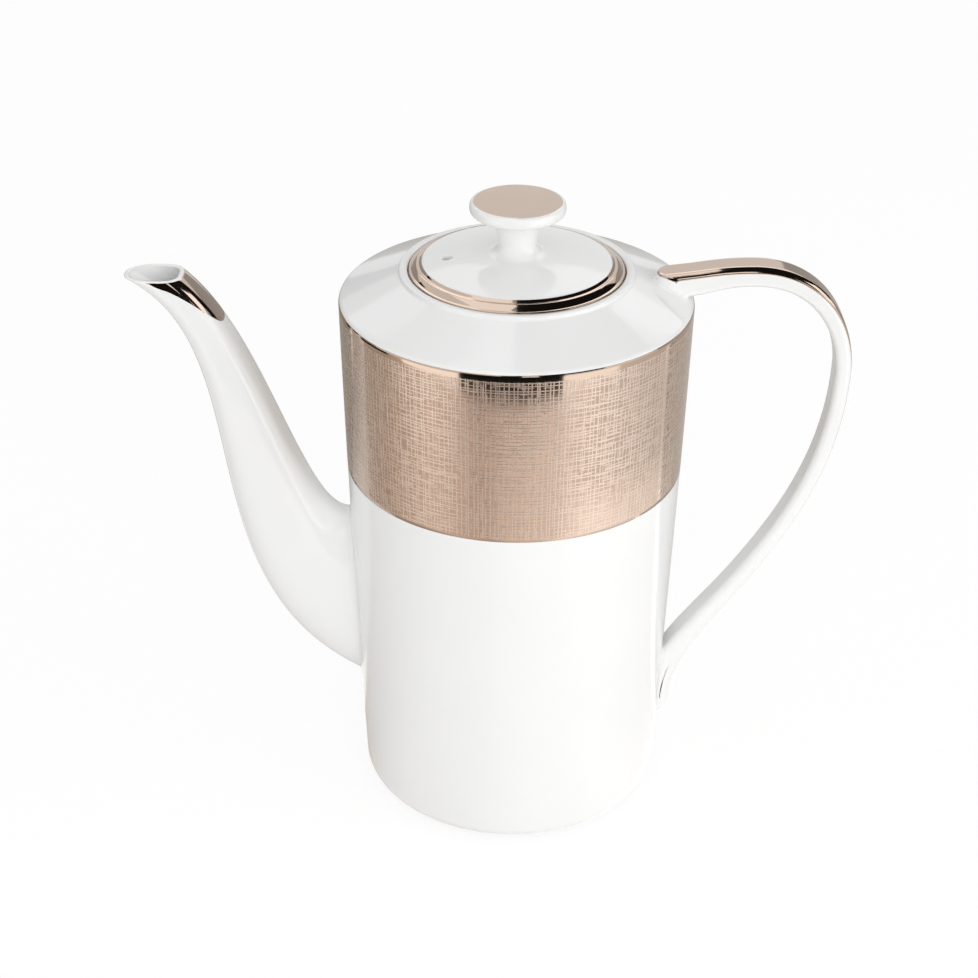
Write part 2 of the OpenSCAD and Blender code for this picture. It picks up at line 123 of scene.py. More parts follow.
# How square its section is, where 2 is an ellipse: its underside, and its back at the root, half way and lip
SQUARE_UNDER = 2.2
SQUARE_ROOT = 2.2
SQUARE_BACK = 3.2
SQUARE_LIP = 3.1
SQUARE_FROM = 0.12
SQUARE_TO = 0.4
SPOUT_ROOT_X = -49.7
SPOUT_UNDER = [(SPOUT_ROOT_X, 35.5), (-114.6, 71), (-75.5, 164.1), (-124, 184.5)]
SPOUT_BACK = [(SPOUT_ROOT_X, 100.5), (-70.5, 90.5), (-76.7, 167.9), (-107.9, 187)]

# Handle: its middle line in the XZ plane runs on from the root, and each stretch ends at a thickness
HANDLE_W = 10
HANDLE_EDGE = 1.9
NOSE_X = 43
NOSE_ROLL = 1.5
NOSE_DEPTH = 12           # how far down in the body the nose starts
HANDLE_ROOT = (53, 182.3)
ROOT_SLOPE = 0.13
TAIL_SPREAD = 3.2
SPREAD_FROM = 2.5
HANDLE_LINE = [
    [HANDLE_ROOT, (58.5, 183), (63.5, 185), (73, 185)],
    [(73, 185), (95, 185), (103, 166), (103, 152.5)],
    [(103, 152.5), (103, 88), (50.3, 57.5), (51.8, 26)],
    [(51.8, 26), (51.9, 23.5), (50.5, 22), (47, 21)],
]
HANDLE_T = [8, 6.6, 5, 5.4, 4]
# Reach of the handle's fillets: at the root's underside, how much less at its top face, and at the tail
ROOT_FILLET = 2.8
ROOT_FILLET_LESS = 1.5
TAIL_FILLET = 2.2
# The lustre stripe turns down over each rounded edge by COVER_TOP degrees at the nose and the top, and by
# COVER_SIDE at the side. The change runs between two places, counted in stretches from the root.
COVER_TOP = 88
COVER_SIDE = 16
COVER_FROM = 1.1
COVER_TO = 2.2

# Lustre skins stand this far out of the glaze, and reach this far into it
FILM_OUT = 0.04
FILM_IN = 0.12
# The roots' fillets and the spout's channel end this deep in the body, where nothing shows
SUNK = 0.6

# Grids: rows of the handle's stretches, of each part of its nose, between its fans and in each fan, how many
# rows the fans keep from the fillets, and rows of the stripe and where on the nose it starts
STRETCH_ROWS = 260
NOSE_ROWS = 60
SQUARE_ROWS = 240
FAN_ROWS = 30
FAN_GAP = 6
STRIPE_ROWS = 260
STRIPE_START = NOSE_ROWS * 1.25
# Points of the handle's section on half a face and on a rounded edge, and on such an edge for the stripe
FACE_POINTS = 6
ROUND_POINTS = 8
EDGE_POINTS = 24
# Points of the stripe on each side of its middle, and those of them on the flat
STRIPE_HALF = 13
STRIPE_FLAT = FACE_POINTS - 1


# ---- Curves ----

def bezier(points, t):
    """A cubic curve: (1-t)^3 a + 3 (1-t)^2 t b + 3 (1-t) t^2 c + t^3 d at each t."""
    a, b, c, d = (np.asarray(p, float) for p in points)
    t = np.asarray(t, float)[:, None]
    return (1 - t) ** 3 * a + 3 * (1 - t) ** 2 * t * b + 3 * (1 - t) * t * t * c + t ** 3 * d


def bend(points, count):
    """A curve with one control point between its ends: (1-t)^2 a + 2 (1-t) t b + t^2 c."""
    a, b, c = (np.asarray(p, float) for p in points)
    t = np.linspace(0, 1, count)[:, None]
    return (1 - t) ** 2 * a + 2 * (1 - t) * t * b + t * t * c


def arc(centre, radius, start, end, count=14):
    """Points of a circle: the centre plus radius times (cos, sin) of angles from start to end, in degrees."""
    a = np.radians(np.linspace(start, end, count))[:, None]
    return np.asarray(centre, float) + radius * np.hstack([np.cos(a), np.sin(a)])


def line(start, end, count=2):
    """Evenly spaced points on the straight line between two points, both ends included."""
    t = np.linspace(0, 1, count)[:, None]
    return np.asarray(start, float) * (1 - t) + np.asarray(end, float) * t


def join(*pieces):
    """One outline from pieces that follow each other, with repeated points left out."""
    points = np.vstack([np.atleast_2d(np.asarray(p, float)) for p in pieces])
    keep = np.ones(len(points), bool)
    keep[1:] = np.linalg.norm(np.diff(points, axis=0), axis=1) > 1e-4
    return points[keep]


def unit(v):
    """Vectors divided by their length."""
    return v / np.maximum(np.linalg.norm(v, axis=-1, keepdims=True), 1e-12)


def smooth(t):
    """0 below 0, 1 above 1, and 3 t^2 - 2 t^3 between."""
    t = np.clip(t, 0, 1)
    return t * t * (3 - 2 * t)


# ---- Meshes ----

def grid_faces(rows, cols):
    """Four-sided faces of a grid of points listed row by row."""
    i, j = np.meshgrid(np.arange(rows - 1), np.arange(cols - 1), indexing="ij")
    a = (i * cols + j).ravel()
    return np.stack([a, a + 1, a + cols + 1, a + cols], axis=1)


def new_object(name, data):
    """An object from its data, put into the scene."""
    made = bpy.data.objects.new(name, data)
    bpy.context.scene.collection.objects.link(made)
    return made


def make_piece(name, points, faces=None, uv=None):
    """A closed mesh in metres from a grid of points in millimetres, with the grid's own faces unless others
    are given. Points that fall together at seams and poles are joined, and faces are turned outwards."""
    if faces is None:
        faces = grid_faces(*points.shape[:2])
    mesh = bpy.data.meshes.new(name)
    mesh.from_pydata(points.reshape(-1, 3) * MM, [], faces)
    if uv is not None:
        corner_points = np.zeros(len(mesh.loops), np.int32)
        mesh.loops.foreach_get("vertex_index", corner_points)
        layer = mesh.uv_layers.new(name="UVMap")
        layer.data.foreach_set("uv", uv.reshape(-1, 2)[corner_points].astype(np.float32).ravel())
    work = bmesh.new()
    work.from_mesh(mesh)
    bmesh.ops.remove_doubles(work, verts=work.verts, dist=2e-6)
    bmesh.ops.recalc_face_normals(work, faces=work.faces)
    work.to_mesh(mesh)
    work.free()
    mesh.polygons.foreach_set("use_smooth", np.ones(len(mesh.polygons), bool))
    return new_object(name, mesh)


def revolved(profile, segments, start=0):
    """Grid of a profile (r, z) turned about Z from a start angle in degrees: (r cos a, r sin a, z), the last
    column back on the first."""
    a = math.radians(start) + np.linspace(0, 2 * np.pi, segments + 1)[None, :]
    r, z = profile[:, :1], profile[:, 1:]
    return np.stack([r * np.cos(a), r * np.sin(a), z + 0 * a], axis=-1)


def turned(name, profile, segments=240, closed=True):
    """A piece turned from a profile, which closes on itself, or else starts and ends on the axis.
    Its UV map is arc length round the rim by arc length along the profile, in millimetres."""
    if closed:
        profile = np.vstack([profile, profile[:1]])
    grid = revolved(profile, segments)
    along = np.concatenate([[0], np.cumsum(np.linalg.norm(np.diff(profile, axis=0), axis=1))])
    round_mm = np.linspace(0, 2 * np.pi, segments + 1) * profile[:, 0].max()
    uv = np.stack(np.broadcast_arrays(round_mm[None, :], along[:, None]), axis=-1)
    return make_piece(name, grid, uv=uv)


# ---- Body ----

def wall_r(z):
    """Outer radius of the wall: a straight taper plus a parabola that bows it out at half height."""
    u = 1 - np.asarray(z, float) / SHOULDER_Z
    return SHOULDER_R + (BASE_R - SHOULDER_R) * u + 4 * WALL_BOW * u * (1 - u)


def wall_line(z, inset=0):
    """Points of the wall at the given heights, moved inwards by inset."""
    return np.stack([wall_r(z) - inset, np.asarray(z, float)], axis=1)


slope = math.radians(SHOULDER_SLOPE)
CORNER_Z = FOOT_H + BASE_CORNER
SHOULDER_MIDDLE = (SHOULDER_R - SHOULDER_ROUND, SHOULDER_Z)
shoulder_arc = arc(SHOULDER_MIDDLE, SHOULDER_ROUND, 0, 90 - SHOULDER_SLOPE)


def cone_z(r):
    """Height of the shoulder's cone at radius r."""
    return shoulder_arc[-1][1] + (shoulder_arc[-1][0] - r) * math.tan(slope)


GALLERY_R = LID_R + LID_GAP
fillet_r = COLLAR_R + COLLAR_FILLET
collar_fillet = arc((fillet_r, cone_z(fillet_r) + COLLAR_FILLET / math.cos(slope)), COLLAR_FILLET,
                    270 - SHOULDER_SLOPE, 180)
crest = arc((COLLAR_R - CREST_R, CREST_Z - CREST_R), CREST_R, 0, 90)
crest_in = bend([(COLLAR_R - CREST_R, CREST_Z), (GALLERY_R, CREST_Z), (GALLERY_R, CREST_Z - CREST_R)], 12)
outside = join(
    arc((wall_r(CORNER_Z) - BASE_CORNER, CORNER_Z), BASE_CORNER, -90, 0, 18),
    wall_line(np.linspace(CORNER_Z, SHOULDER_Z, 60)),
    shoulder_arc, collar_fillet, crest)


def nearest_outside(points):
    """For points near the body: signed distance from its outside, the nearest point on it and the normal
    there. Each point is taken to its own half plane (r, z) and compared with the outline's segments."""
    flat = points.reshape(-1, 3)
    r = np.hypot(flat[:, 0], flat[:, 1])
    q = np.stack([r, flat[:, 2]], axis=1)
    a, d = outside[:-1], np.diff(outside, axis=0)
    length2 = (d ** 2).sum(1)
    best = np.full(len(q), 1e9)
    foot, normal = np.zeros_like(q), np.zeros_like(q)
    for start, step, size2 in zip(a, d, length2):
        t = np.clip(((q - start) @ step) / size2, 0, 1)
        near = start + t[:, None] * step
        distance = np.linalg.norm(q - near, axis=1)
        closer = distance < best
        best[closer] = distance[closer]
        foot[closer] = near[closer]
        normal[closer] = np.array([step[1], -step[0]]) / math.sqrt(size2)
    side = np.sign(((q - foot) * normal).sum(1))
    across = flat[:, :2] / r[:, None]
    foot3 = np.column_stack([across * foot[:, :1], foot[:, 1]])
    normal3 = np.column_stack([across * normal[:, :1], normal[:, 1]])
    shape = points.shape[:-1]
    return (best * side).reshape(shape), foot3.reshape(points.shape), normal3.reshape(points.shape)


def square_distance(half):
    """Distance from the middle of a square block of grid points, as the larger of its row and column
    distances, counted in halves of the hole's width: 1 on the hole's edge, 2 on the block's edge."""
    k = np.abs(np.arange(-2 * half, 2 * half + 1))
    return np.maximum(k[:, None], k[None, :]) / half


def pulled_to_circle(flat, radius, c):
    """Flat offsets from a hole's middle, moved onto the circle of c times the radius where c is at most 1,
    and left where they are at c = 2, with a straight blend between."""
    w = np.clip(c - 1, 0, 1)[..., None]
    return unit(flat) * (radius * c)[..., None] * (1 - w) + flat * w


def hole_loop(first_row, centre_col, half, cols, upwards):
    """Indices of the grid points round a hole, in the same turning sense for rows listed either way."""
    k = np.arange(2 * half)
    step = 1 if upwards else -1
    low = first_row + half if upwards else first_row + 3 * half
    high = low + step * 2 * half
    left, right = centre_col - half, centre_col + half
    return np.concatenate([low * cols + left + k, (low + step * k) * cols + right,
                           high * cols + right - k, (high - step * k) * cols + left])


def pierced(name, grid, half, placed, outer, inner):
    """A piece from a closed grid, with a round hole through two of its walls at the middle column. Each wall
    is given by the first row of the hole's block and its depth below the outside. The placing function moves
    a block's points, and a tunnel joins the hole's edges. The inner wall's rows run the other way."""
    rows, cols = grid.shape[:2]
    centre_col = cols // 2
    block = slice(centre_col - 2 * half, centre_col + 2 * half + 1)
    c = square_distance(half)
    hole = np.zeros((rows, cols), bool)
    loops = []
    for (first, depth), upwards in ((outer, True), (inner, False)):
        wall = slice(first, first + 4 * half + 1)
        grid[wall, block] = placed(grid[wall, block], c, depth)
        hole[wall, block] = c <= 1
        loops.append(hole_loop(first, centre_col, half, cols, upwards))
    faces = grid_faces(rows, cols)
    in_hole = hole.ravel()[faces].all(axis=1)
    near, far = loops
    tunnel = np.stack([near, np.roll(near, -1), np.roll(far, -1), far], axis=1)
    return make_piece(name, grid, np.vstack([faces[~in_hole], tunnel]))


def round_port(patch, c, inset):
    """A block of the wall, moved in end view so that it circles the pouring hole, and set back on the wall:
    x is minus the square root of the wall's radius squared less y squared."""
    flat = pulled_to_circle(patch[..., 1:] - [0, PORT_Z], PORT_R, c)
    z = flat[..., 1] + PORT_Z
    x = -np.sqrt((wall_r(z) - inset) ** 2 - flat[..., 0] ** 2)
    return np.stack([x, flat[..., 0], z], axis=-1)


def body_piece():
    """The body's shell, turned from one outline: outside, gallery, ledge, mouth, hollow and floor.
    Round the pouring hole the grid is pulled to a circle, and a tunnel joins the two walls."""
    segments, half, inner_rows = 240, 5, 16
    pitch = 2 * np.pi / segments * wall_r(PORT_Z)
    port_rows = PORT_Z + pitch * np.arange(-2 * half, 2 * half + 1)
    low_rows = np.linspace(CORNER_Z, port_rows[0], 14)[:-1]
    high_rows = np.linspace(port_rows[-1], SHOULDER_Z, 24)[1:]
    outer_z = np.concatenate([low_rows, port_rows, high_rows])
    floor_z = FOOT_H + FLOOR_T
    inner_corner_z = floor_z + FLOOR_CORNER
    inner_r = SHOULDER_R - WALL_T
    inner_top_z = cone_z(inner_r) - WALL_T / math.cos(slope)
    inner_z = np.concatenate([np.linspace(inner_top_z, port_rows[-1], inner_rows)[:-1], port_rows[::-1],
                              np.linspace(port_rows[0], inner_corner_z, 10)[1:]])
    neck_z = min(inner_top_z + (inner_r - fillet_r) * math.tan(slope), LEDGE_Z - LEDGE_T)
    base = join(line((0, FOOT_H), (wall_r(CORNER_Z) - BASE_CORNER, FOOT_H), 6),
                arc((wall_r(CORNER_Z) - BASE_CORNER, CORNER_Z), BASE_CORNER, -90, 0, 18))
    top = join(shoulder_arc, line(shoulder_arc[-1], collar_fillet[0], 12), collar_fillet,
               line(collar_fillet[-1], crest[0], 4), crest, crest_in,
               line((GALLERY_R, CREST_Z - CREST_R), (GALLERY_R, LEDGE_Z + 0.5), 3),
               bend([(GALLERY_R, LEDGE_Z + 0.5), (GALLERY_R, LEDGE_Z), (GALLERY_R - 0.5, LEDGE_Z)], 6),
               bend([(MOUTH_R + 0.6, LEDGE_Z), (MOUTH_R, LEDGE_Z), (MOUTH_R, LEDGE_Z - 0.6)], 6),
               line((MOUTH_R, LEDGE_Z - 0.6), (MOUTH_R, LEDGE_Z - LEDGE_T + 0.5), 3),
               bend([(MOUTH_R, LEDGE_Z - LEDGE_T + 0.5), (MOUTH_R, LEDGE_Z - LEDGE_T),
                     (MOUTH_R + 0.5, LEDGE_Z - LEDGE_T)], 5),
               (fillet_r, neck_z))
    corner_r = wall_r(inner_corner_z) - WALL_T - FLOOR_CORNER
    floor = join(arc((corner_r, inner_corner_z), FLOOR_CORNER, 0, -90, 14),
                 line((corner_r, floor_z), (0, floor_z), 6))
    outer_first = len(base) - 1
    profile = np.vstack([base[:-1], wall_line(outer_z), top[1:], wall_line(inner_z, WALL_T), floor[1:]])
    inner_first = outer_first + len(outer_z) + len(top) - 1
    return pierced("body", revolved(profile, segments), half, round_port,
                   (outer_first + len(low_rows), 0), (inner_first + inner_rows - 1, WALL_T))


def foot_piece():
    """The foot ring: a low band with a rounded tread and small fillets under the floor."""
    inner, tread = FOOT_R - FOOT_W, FOOT_H * 0.55
    return turned("foot", join(
        (inner - 0.5, FOOT_H + 0.05),
        bend([(inner - 0.5, FOOT_H), (inner, FOOT_H), (inner + 0.1, tread)], 5),
        bend([(inner + 0.1, tread), (inner + 0.2, 0), (inner + 1, 0)], 7),
        bend([(FOOT_R - 1, 0), (FOOT_R - 0.2, 0), (FOOT_R - 0.1, tread)], 7),
        bend([(FOOT_R - 0.1, tread), (FOOT_R, FOOT_H), (FOOT_R + 0.4, FOOT_H)], 5),
        (FOOT_R + 0.4, FOOT_H + 0.05)))


def band_piece():
    """The lustre band: a skin on the wall, from its lower edge to the shoulder's rounding."""
    z = np.linspace(BAND_LOW_Z, SHOULDER_Z, 40)
    over, under = (join(wall_line(z, -grow), arc(SHOULDER_MIDDLE, SHOULDER_ROUND + grow, 0, BAND_TURN, 8))
                   for grow in (FILM_OUT, -FILM_IN))
    return turned("band", join(over, under[::-1]), segments=360)


# ---- Spout and handle: grids whose columns run out of the body ----

def pick(columns, rows):
    """Points of each column at fractional rows, by straight lines between the dense rows given."""
    rows = np.clip(rows, 0, len(columns) - 1.001)
    i = rows.astype(int)
    j = np.broadcast_to(np.arange(columns.shape[1]), rows.shape)
    w = (rows - i)[..., None]
    return columns[i, j] * (1 - w) + columns[i + 1, j] * w


def crossing(values, last=False):
    """The fractional row where each column's values go from below zero to above it, the first or the last."""
    rising = (values[:-1] <= 0) & (values[1:] > 0)
    if last:
        i = len(rising) - 1 - np.argmax(rising[::-1], axis=0)
    else:
        i = np.argmax(rising, axis=0)
    j = np.arange(values.shape[1])
    below, above = values[i, j], values[i + 1, j]
    return i + below / (below - above)


def root_fillet(columns, reach, near, count=9):
    """Concave fillet between columns that leave the body within their first rows and the body itself. Each
    column's fillet is a curve with one control point, the crossing: it starts on the body, a reach away from
    there, and ends on the column, a reach along it. Gives the fillet's rows and each column's row there."""
    at = crossing(nearest_outside(columns[:near])[0], last=True)
    corner = pick(columns, at[None])[0]
    step = np.linalg.norm(pick(columns, at[None] + 1)[0] - corner, axis=-1)
    leave = at + reach / step
    along = pick(columns, leave[None])[0] - corner
    across = np.roll(corner, -1, axis=0) - np.roll(corner, 1, axis=0)
    outward = unit(np.cross(along, across))
    centre = corner.mean(0)
    outward *= np.sign(((corner - centre) * outward).sum(-1, keepdims=True).mean())
    normal = nearest_outside(corner)[2]
    away = unit(outward - (outward * normal).sum(-1, keepdims=True) * normal)
    spread = np.broadcast_to(np.asarray(reach, float), at.shape)[:, None]
    edge = nearest_outside(corner + away * spread)
    start = edge[1] - edge[2] * 0.02
    t = np.linspace(0, 1, count)[:, None, None]
    end = pick(columns, leave[None])
    rows = (1 - t) ** 2 * start + 2 * (1 - t) * t * corner + t * t * end
    sunk = edge[1] - edge[2] * SUNK
    return np.vstack([sunk[None], rows]), leave


def back_power(t):
    """How square the spout's back is along it: near an ellipse's 2 at the root, squarest half way and eased
    at the lip."""
    up = SQUARE_ROOT + (SQUARE_BACK - SQUARE_ROOT) * smooth((t - SQUARE_FROM) / (SQUARE_TO - SQUARE_FROM))
    return up + (SQUARE_LIP - up) * smooth((t - SQUARE_TO) / (1 - SQUARE_TO))


def spout_columns(t, w, inset):
    """The spout's surface at t along it and angles w round it: superellipses whose one half axis reaches from
    the underside's outline to the back's, and whose other is half the width there, both less the inset.
    A point is the centre plus direction times a |cos w|^(2/n) signed, and b |sin w|^(2/n) signed across."""
    under, back = bezier(SPOUT_UNDER, t), bezier(SPOUT_BACK, t)
    centre, half = (under + back) / 2, np.linalg.norm(back - under, axis=1) / 2
    direction = unit(back - under)
    wide = (SPOUT_ROOT_W + (SPOUT_TIP_W - SPOUT_ROOT_W) * t) / 2
    cos, sin = np.cos(w), np.sin(w)
    power = 2 / np.where(cos > 0, back_power(t)[:, None], SQUARE_UNDER)
    a = (half - inset)[:, None] * np.sign(cos) * np.abs(cos) ** power
    b = (wide - inset)[:, None] * np.sign(sin) * np.abs(sin) ** power
    flat = centre[:, None] + direction[:, None] * a[..., None]
    return np.stack([flat[..., 0], b, flat[..., 1]], axis=-1)


def wrapped(grid):
    """A grid with its first column repeated after the last, so that its sides meet."""
    return np.concatenate([grid, grid[:, :1]], axis=1)


def spout_piece():
    """The spout: fillet at the wall, outside up to the level cut, rounded lip, and the channel inside. The
    wall thins towards the lip as the cube of the way along."""
    around, rows, dense, root = 144, 130, 900, 330
    t = np.linspace(0, 1, dense)
    w = np.linspace(0, 2 * np.pi, around, endpoint=False)
    outer = spout_columns(t, w, 0 * t)
    inner = spout_columns(t, w, SPOUT_T + (LIP_T - SPOUT_T) * t ** 3)
    fillet, leave = root_fillet(outer, SPOUT_FILLET, root)
    rim_z = SPOUT_TIP_Z - LIP_RISE
    lip_out, lip_in = crossing(outer[..., 2] - rim_z), crossing(inner[..., 2] - rim_z)
    s = np.linspace(0, 1, rows)[:, None]
    outside_rows = pick(outer, leave + (lip_out - leave) * s)
    enter = crossing(nearest_outside(inner[:root])[0] + SUNK)
    inside_rows = pick(inner, lip_in + (enter - lip_in) * s)
    a = np.linspace(0, np.pi, 9)[1:-1, None, None]
    rise = np.array([0, 0, LIP_RISE])
    lip = outside_rows[-1] * (1 + np.cos(a)) / 2 + inside_rows[0] * (1 - np.cos(a)) / 2 + rise * np.sin(a)
    grid = wrapped(np.vstack([fillet, outside_rows[1:], lip, inside_rows, fillet[:1]]))
    return make_piece("spout_shell", grid)


def skin_ring(over, under):
    """Rows of a skin's outside, back along its inside, and the first row again."""
    return np.vstack([over, under[::-1], over[:1]])


def lip_lustre_piece():
    """The lustre on the spout's lip: a leaf on the back of the spout. Across, it covers angles up to a half
    arc. Along, it runs down from the lip by length times 1 - |angle / half arc|^1.8, so it ends round."""
    around, dense = 65, 500
    k = np.linspace(-1, 1, around)
    w = np.radians(LIP_ARC) * np.sign(k) * (1 - (1 - np.abs(k)) ** 1.5)
    t = np.linspace(0.6, 1, dense)
    sheets = []
    for grow in (FILM_OUT, -FILM_IN):
        columns = spout_columns(t, w, 0 * t - grow)
        top = crossing(columns[..., 2] - (SPOUT_TIP_Z - LIP_T * 0.35))
        step = np.linalg.norm(columns[-1, around // 2] - columns[-2, around // 2])
        reach = LIP_LENGTH * (1 - np.abs(w / np.radians(LIP_ARC)) ** 1.8) / step
        sheets.append(pick(columns, top - reach * np.linspace(0, 1, 40)[:, None]))
    return make_piece("lip_lustre", skin_ring(*sheets))


def handle_section(face, edge):
    """A rounded rectangle as four columns of numbers, listed round from the middle of the outer face: where
    the core's edge is (out, across, each -1 to 1), and the corner's direction from it (out, across)."""
    a = np.linspace(0, np.pi / 2, edge)
    k = np.linspace(0, 1, face)[:-1]
    outer = np.stack([1 + 0 * k, k, 1 + 0 * k, 0 * k], axis=1)
    corner = np.stack([1 + 0 * a, 1 + 0 * a, np.cos(a), np.sin(a)], axis=1)
    side = np.stack([1 - k[1:], 1 + 0 * k[1:], 0 * k[1:], 1 + 0 * k[1:]], axis=1)
    middle = np.array([[0, 1, 0, 1]])
    quarter = np.vstack([outer, corner, side])
    right = np.vstack([quarter, middle, quarter[::-1] * [-1, 1, -1, 1]])
    return np.vstack([right, right[1:-1][::-1] * [1, -1, 1, -1]])


def section_points(section, thick, grow):
    """Offsets (out, across) of a section: the core's half sides times its numbers, plus the edge's radius."""
    out = (thick / 2 - HANDLE_EDGE) * section[:, 0] + (HANDLE_EDGE + grow) * section[:, 2]
    across = (HANDLE_W / 2 - HANDLE_EDGE) * section[:, 1] + (HANDLE_EDGE + grow) * section[:, 3]
    return out, across + 0 * out


def nose_rows(section, grow, count):
    """The handle's root. Each point of the section goes up out of the body, rolls over by a quarter turn and
    runs out along the handle. Seen from above the nose is half a circle, w/2 - sqrt((w/2)^2 - y^2) back from
    its tip, and that fades from the top face to the underside. All of it rises with the root's slope, and the
    run ends on the section that stands square to that slope."""
    thick = HANDLE_T[0]
    out, across = section_points(section, thick, grow)
    high = 0.5 + out / (thick + 2 * grow)
    round_back = HANDLE_W / 2 - np.sqrt(np.maximum(HANDLE_W ** 2 / 4 - across ** 2, 0))
    x = NOSE_X - grow + thick * (1 - high) + round_back * high
    tilt = math.atan(ROOT_SLOPE)
    end_x, end_z = HANDLE_ROOT[0] - out * math.sin(tilt), HANDLE_ROOT[1] + out * math.cos(tilt)
    z = end_z + ROOT_SLOPE * (x + NOSE_ROLL - end_x)
    s = np.linspace(0, 1, count)[:, None]
    rise = np.stack(np.broadcast_arrays(x, z - NOSE_ROLL - NOSE_DEPTH * (1 - s)), axis=-1)
    turn = s * np.pi / 2
    roll = np.stack([x + NOSE_ROLL * (1 - np.cos(turn)), z - NOSE_ROLL * (1 - np.sin(turn))], axis=-1)
    run = np.stack([x + NOSE_ROLL + (end_x - x - NOSE_ROLL) * s, z + (end_z - z) * s], axis=-1)
    rows = np.vstack([rise[:-1], roll[:-1], run[:-1]])
    return np.stack([rows[..., 0], np.broadcast_to(-across, rows.shape[:2]), rows[..., 1]], axis=-1)


def handle_columns(section, grow=0.0):
    """The handle's surface in dense columns: the nose's rows, then the section carried along the middle line,
    square to it, with its thickness eased from one stretch's end to the next. Towards the tail its inner side
    spreads, so the thickness grows and the middle moves in by half of that."""
    t = np.linspace(0, 1, STRETCH_ROWS, endpoint=False)
    points = np.vstack([bezier(c, t) for c in HANDLE_LINE])
    thick = np.concatenate([a + (b - a) * smooth(t) for a, b in zip(HANDLE_T, HANDLE_T[1:])])[:, None]
    way = np.arange(len(points)) / STRETCH_ROWS
    spread = TAIL_SPREAD * smooth((way - SPREAD_FROM) / (3 - SPREAD_FROM))[:, None]
    ahead = unit(np.gradient(points, axis=0))
    outward = np.stack([-ahead[:, 1], ahead[:, 0]], axis=1)
    points, thick = points - outward * spread / 2, thick + spread
    out, across = section_points(section, thick, grow)
    flat = points[:, None] + outward[:, None] * out[..., None]
    run = np.stack([flat[..., 0], -across, flat[..., 1]], axis=-1)
    return np.vstack([nose_rows(section, grow, NOSE_ROWS), run])


HANDLE_SECTION = handle_section(FACE_POINTS, ROUND_POINTS)
STRIPE_SECTION = handle_section(FACE_POINTS, EDGE_POINTS)


def handle_piece():
    """The handle: a strap with rounded edges, filleted to the shoulder at one end and to the wall at the
    other. Its rows stand square to the middle line, and at both ends they fan out to the fillets."""
    columns = handle_columns(HANDLE_SECTION)
    high = 0.5 + section_points(HANDLE_SECTION, HANDLE_T[0], 0)[0] / HANDLE_T[0]
    fillet, leave = root_fillet(columns, ROOT_FILLET - ROOT_FILLET_LESS * high, 3 * NOSE_ROWS + STRETCH_ROWS)
    tail = columns[3 * NOSE_ROWS + 2 * STRETCH_ROWS + STRETCH_ROWS // 2:][::-1]
    tail_fillet, tail_leave = root_fillet(tail, TAIL_FILLET, len(tail))
    finish = len(columns) - 1 - tail_leave
    first, last = leave.max() + FAN_GAP, finish.min() - FAN_GAP
    fan, square = np.linspace(0, 1, FAN_ROWS)[:, None], np.linspace(0, 1, SQUARE_ROWS)[1:-1, None]
    middle = pick(columns, np.vstack([leave + (first - leave) * fan,
                                      first + (last - first) * square + 0 * leave,
                                      last + (finish - last) * fan]))
    ends = [np.broadcast_to(f[0].mean(0), f[:1].shape) for f in (fillet, tail_fillet)]
    grid = wrapped(np.vstack([ends[0], fillet, middle[1:-1], tail_fillet[::-1], ends[1]]))
    return make_piece("handle_strap", grid)


def stripe_piece():
    """The lustre on the handle: a skin over the outer face and its rounded edges, from the nose to the tail.
    Round each edge it covers nearly the whole quarter turn at the nose and the top, and less further on."""
    half = FACE_POINTS + EDGE_POINTS - 1
    chosen = np.vstack([STRIPE_SECTION[-half:], STRIPE_SECTION[:half + 1]])
    first, last = STRIPE_START, 3 * NOSE_ROWS + 3 * STRETCH_ROWS
    at = (first + (last - first) * np.linspace(0, 1, STRIPE_ROWS))[:, None] + np.zeros(len(chosen))
    way = (at[:, 0] - 3 * NOSE_ROWS) / STRETCH_ROWS
    cover = COVER_TOP + (COVER_SIDE - COVER_TOP) * smooth((way - COVER_FROM) / (COVER_TO - COVER_FROM))
    k = np.arange(-STRIPE_HALF, STRIPE_HALF + 1)[:, None]
    flat = np.minimum(np.abs(k), STRIPE_FLAT)
    share = np.maximum(np.abs(k) - STRIPE_FLAT, 0) / (STRIPE_HALF - STRIPE_FLAT)
    across = half + np.sign(k) * (flat + share * cover / 90 * (EDGE_POINTS - 1))
    sheets = [pick(pick(handle_columns(chosen, grow), at).transpose(1, 0, 2), across).transpose(1, 0, 2)
              for grow in (FILM_OUT, -FILM_IN)]
    ring = skin_ring(*sheets)
    faces = np.vstack([grid_faces(*ring.shape[:2]), skin_edges(STRIPE_ROWS, ring.shape[1])])
    return make_piece("stripe_lustre", ring, faces)


def skin_edges(rows, cols):
    """Faces that close the long edges of a skin listed as its top's rows, then its underside's reversed."""
    i = np.arange(rows - 1)
    twin = (2 * rows - 1 - i) * cols
    left = np.stack([i * cols, (i + 1) * cols, twin - cols, twin], axis=1)
    return np.vstack([left, left + cols - 1])


# ---- Lid and knob ----

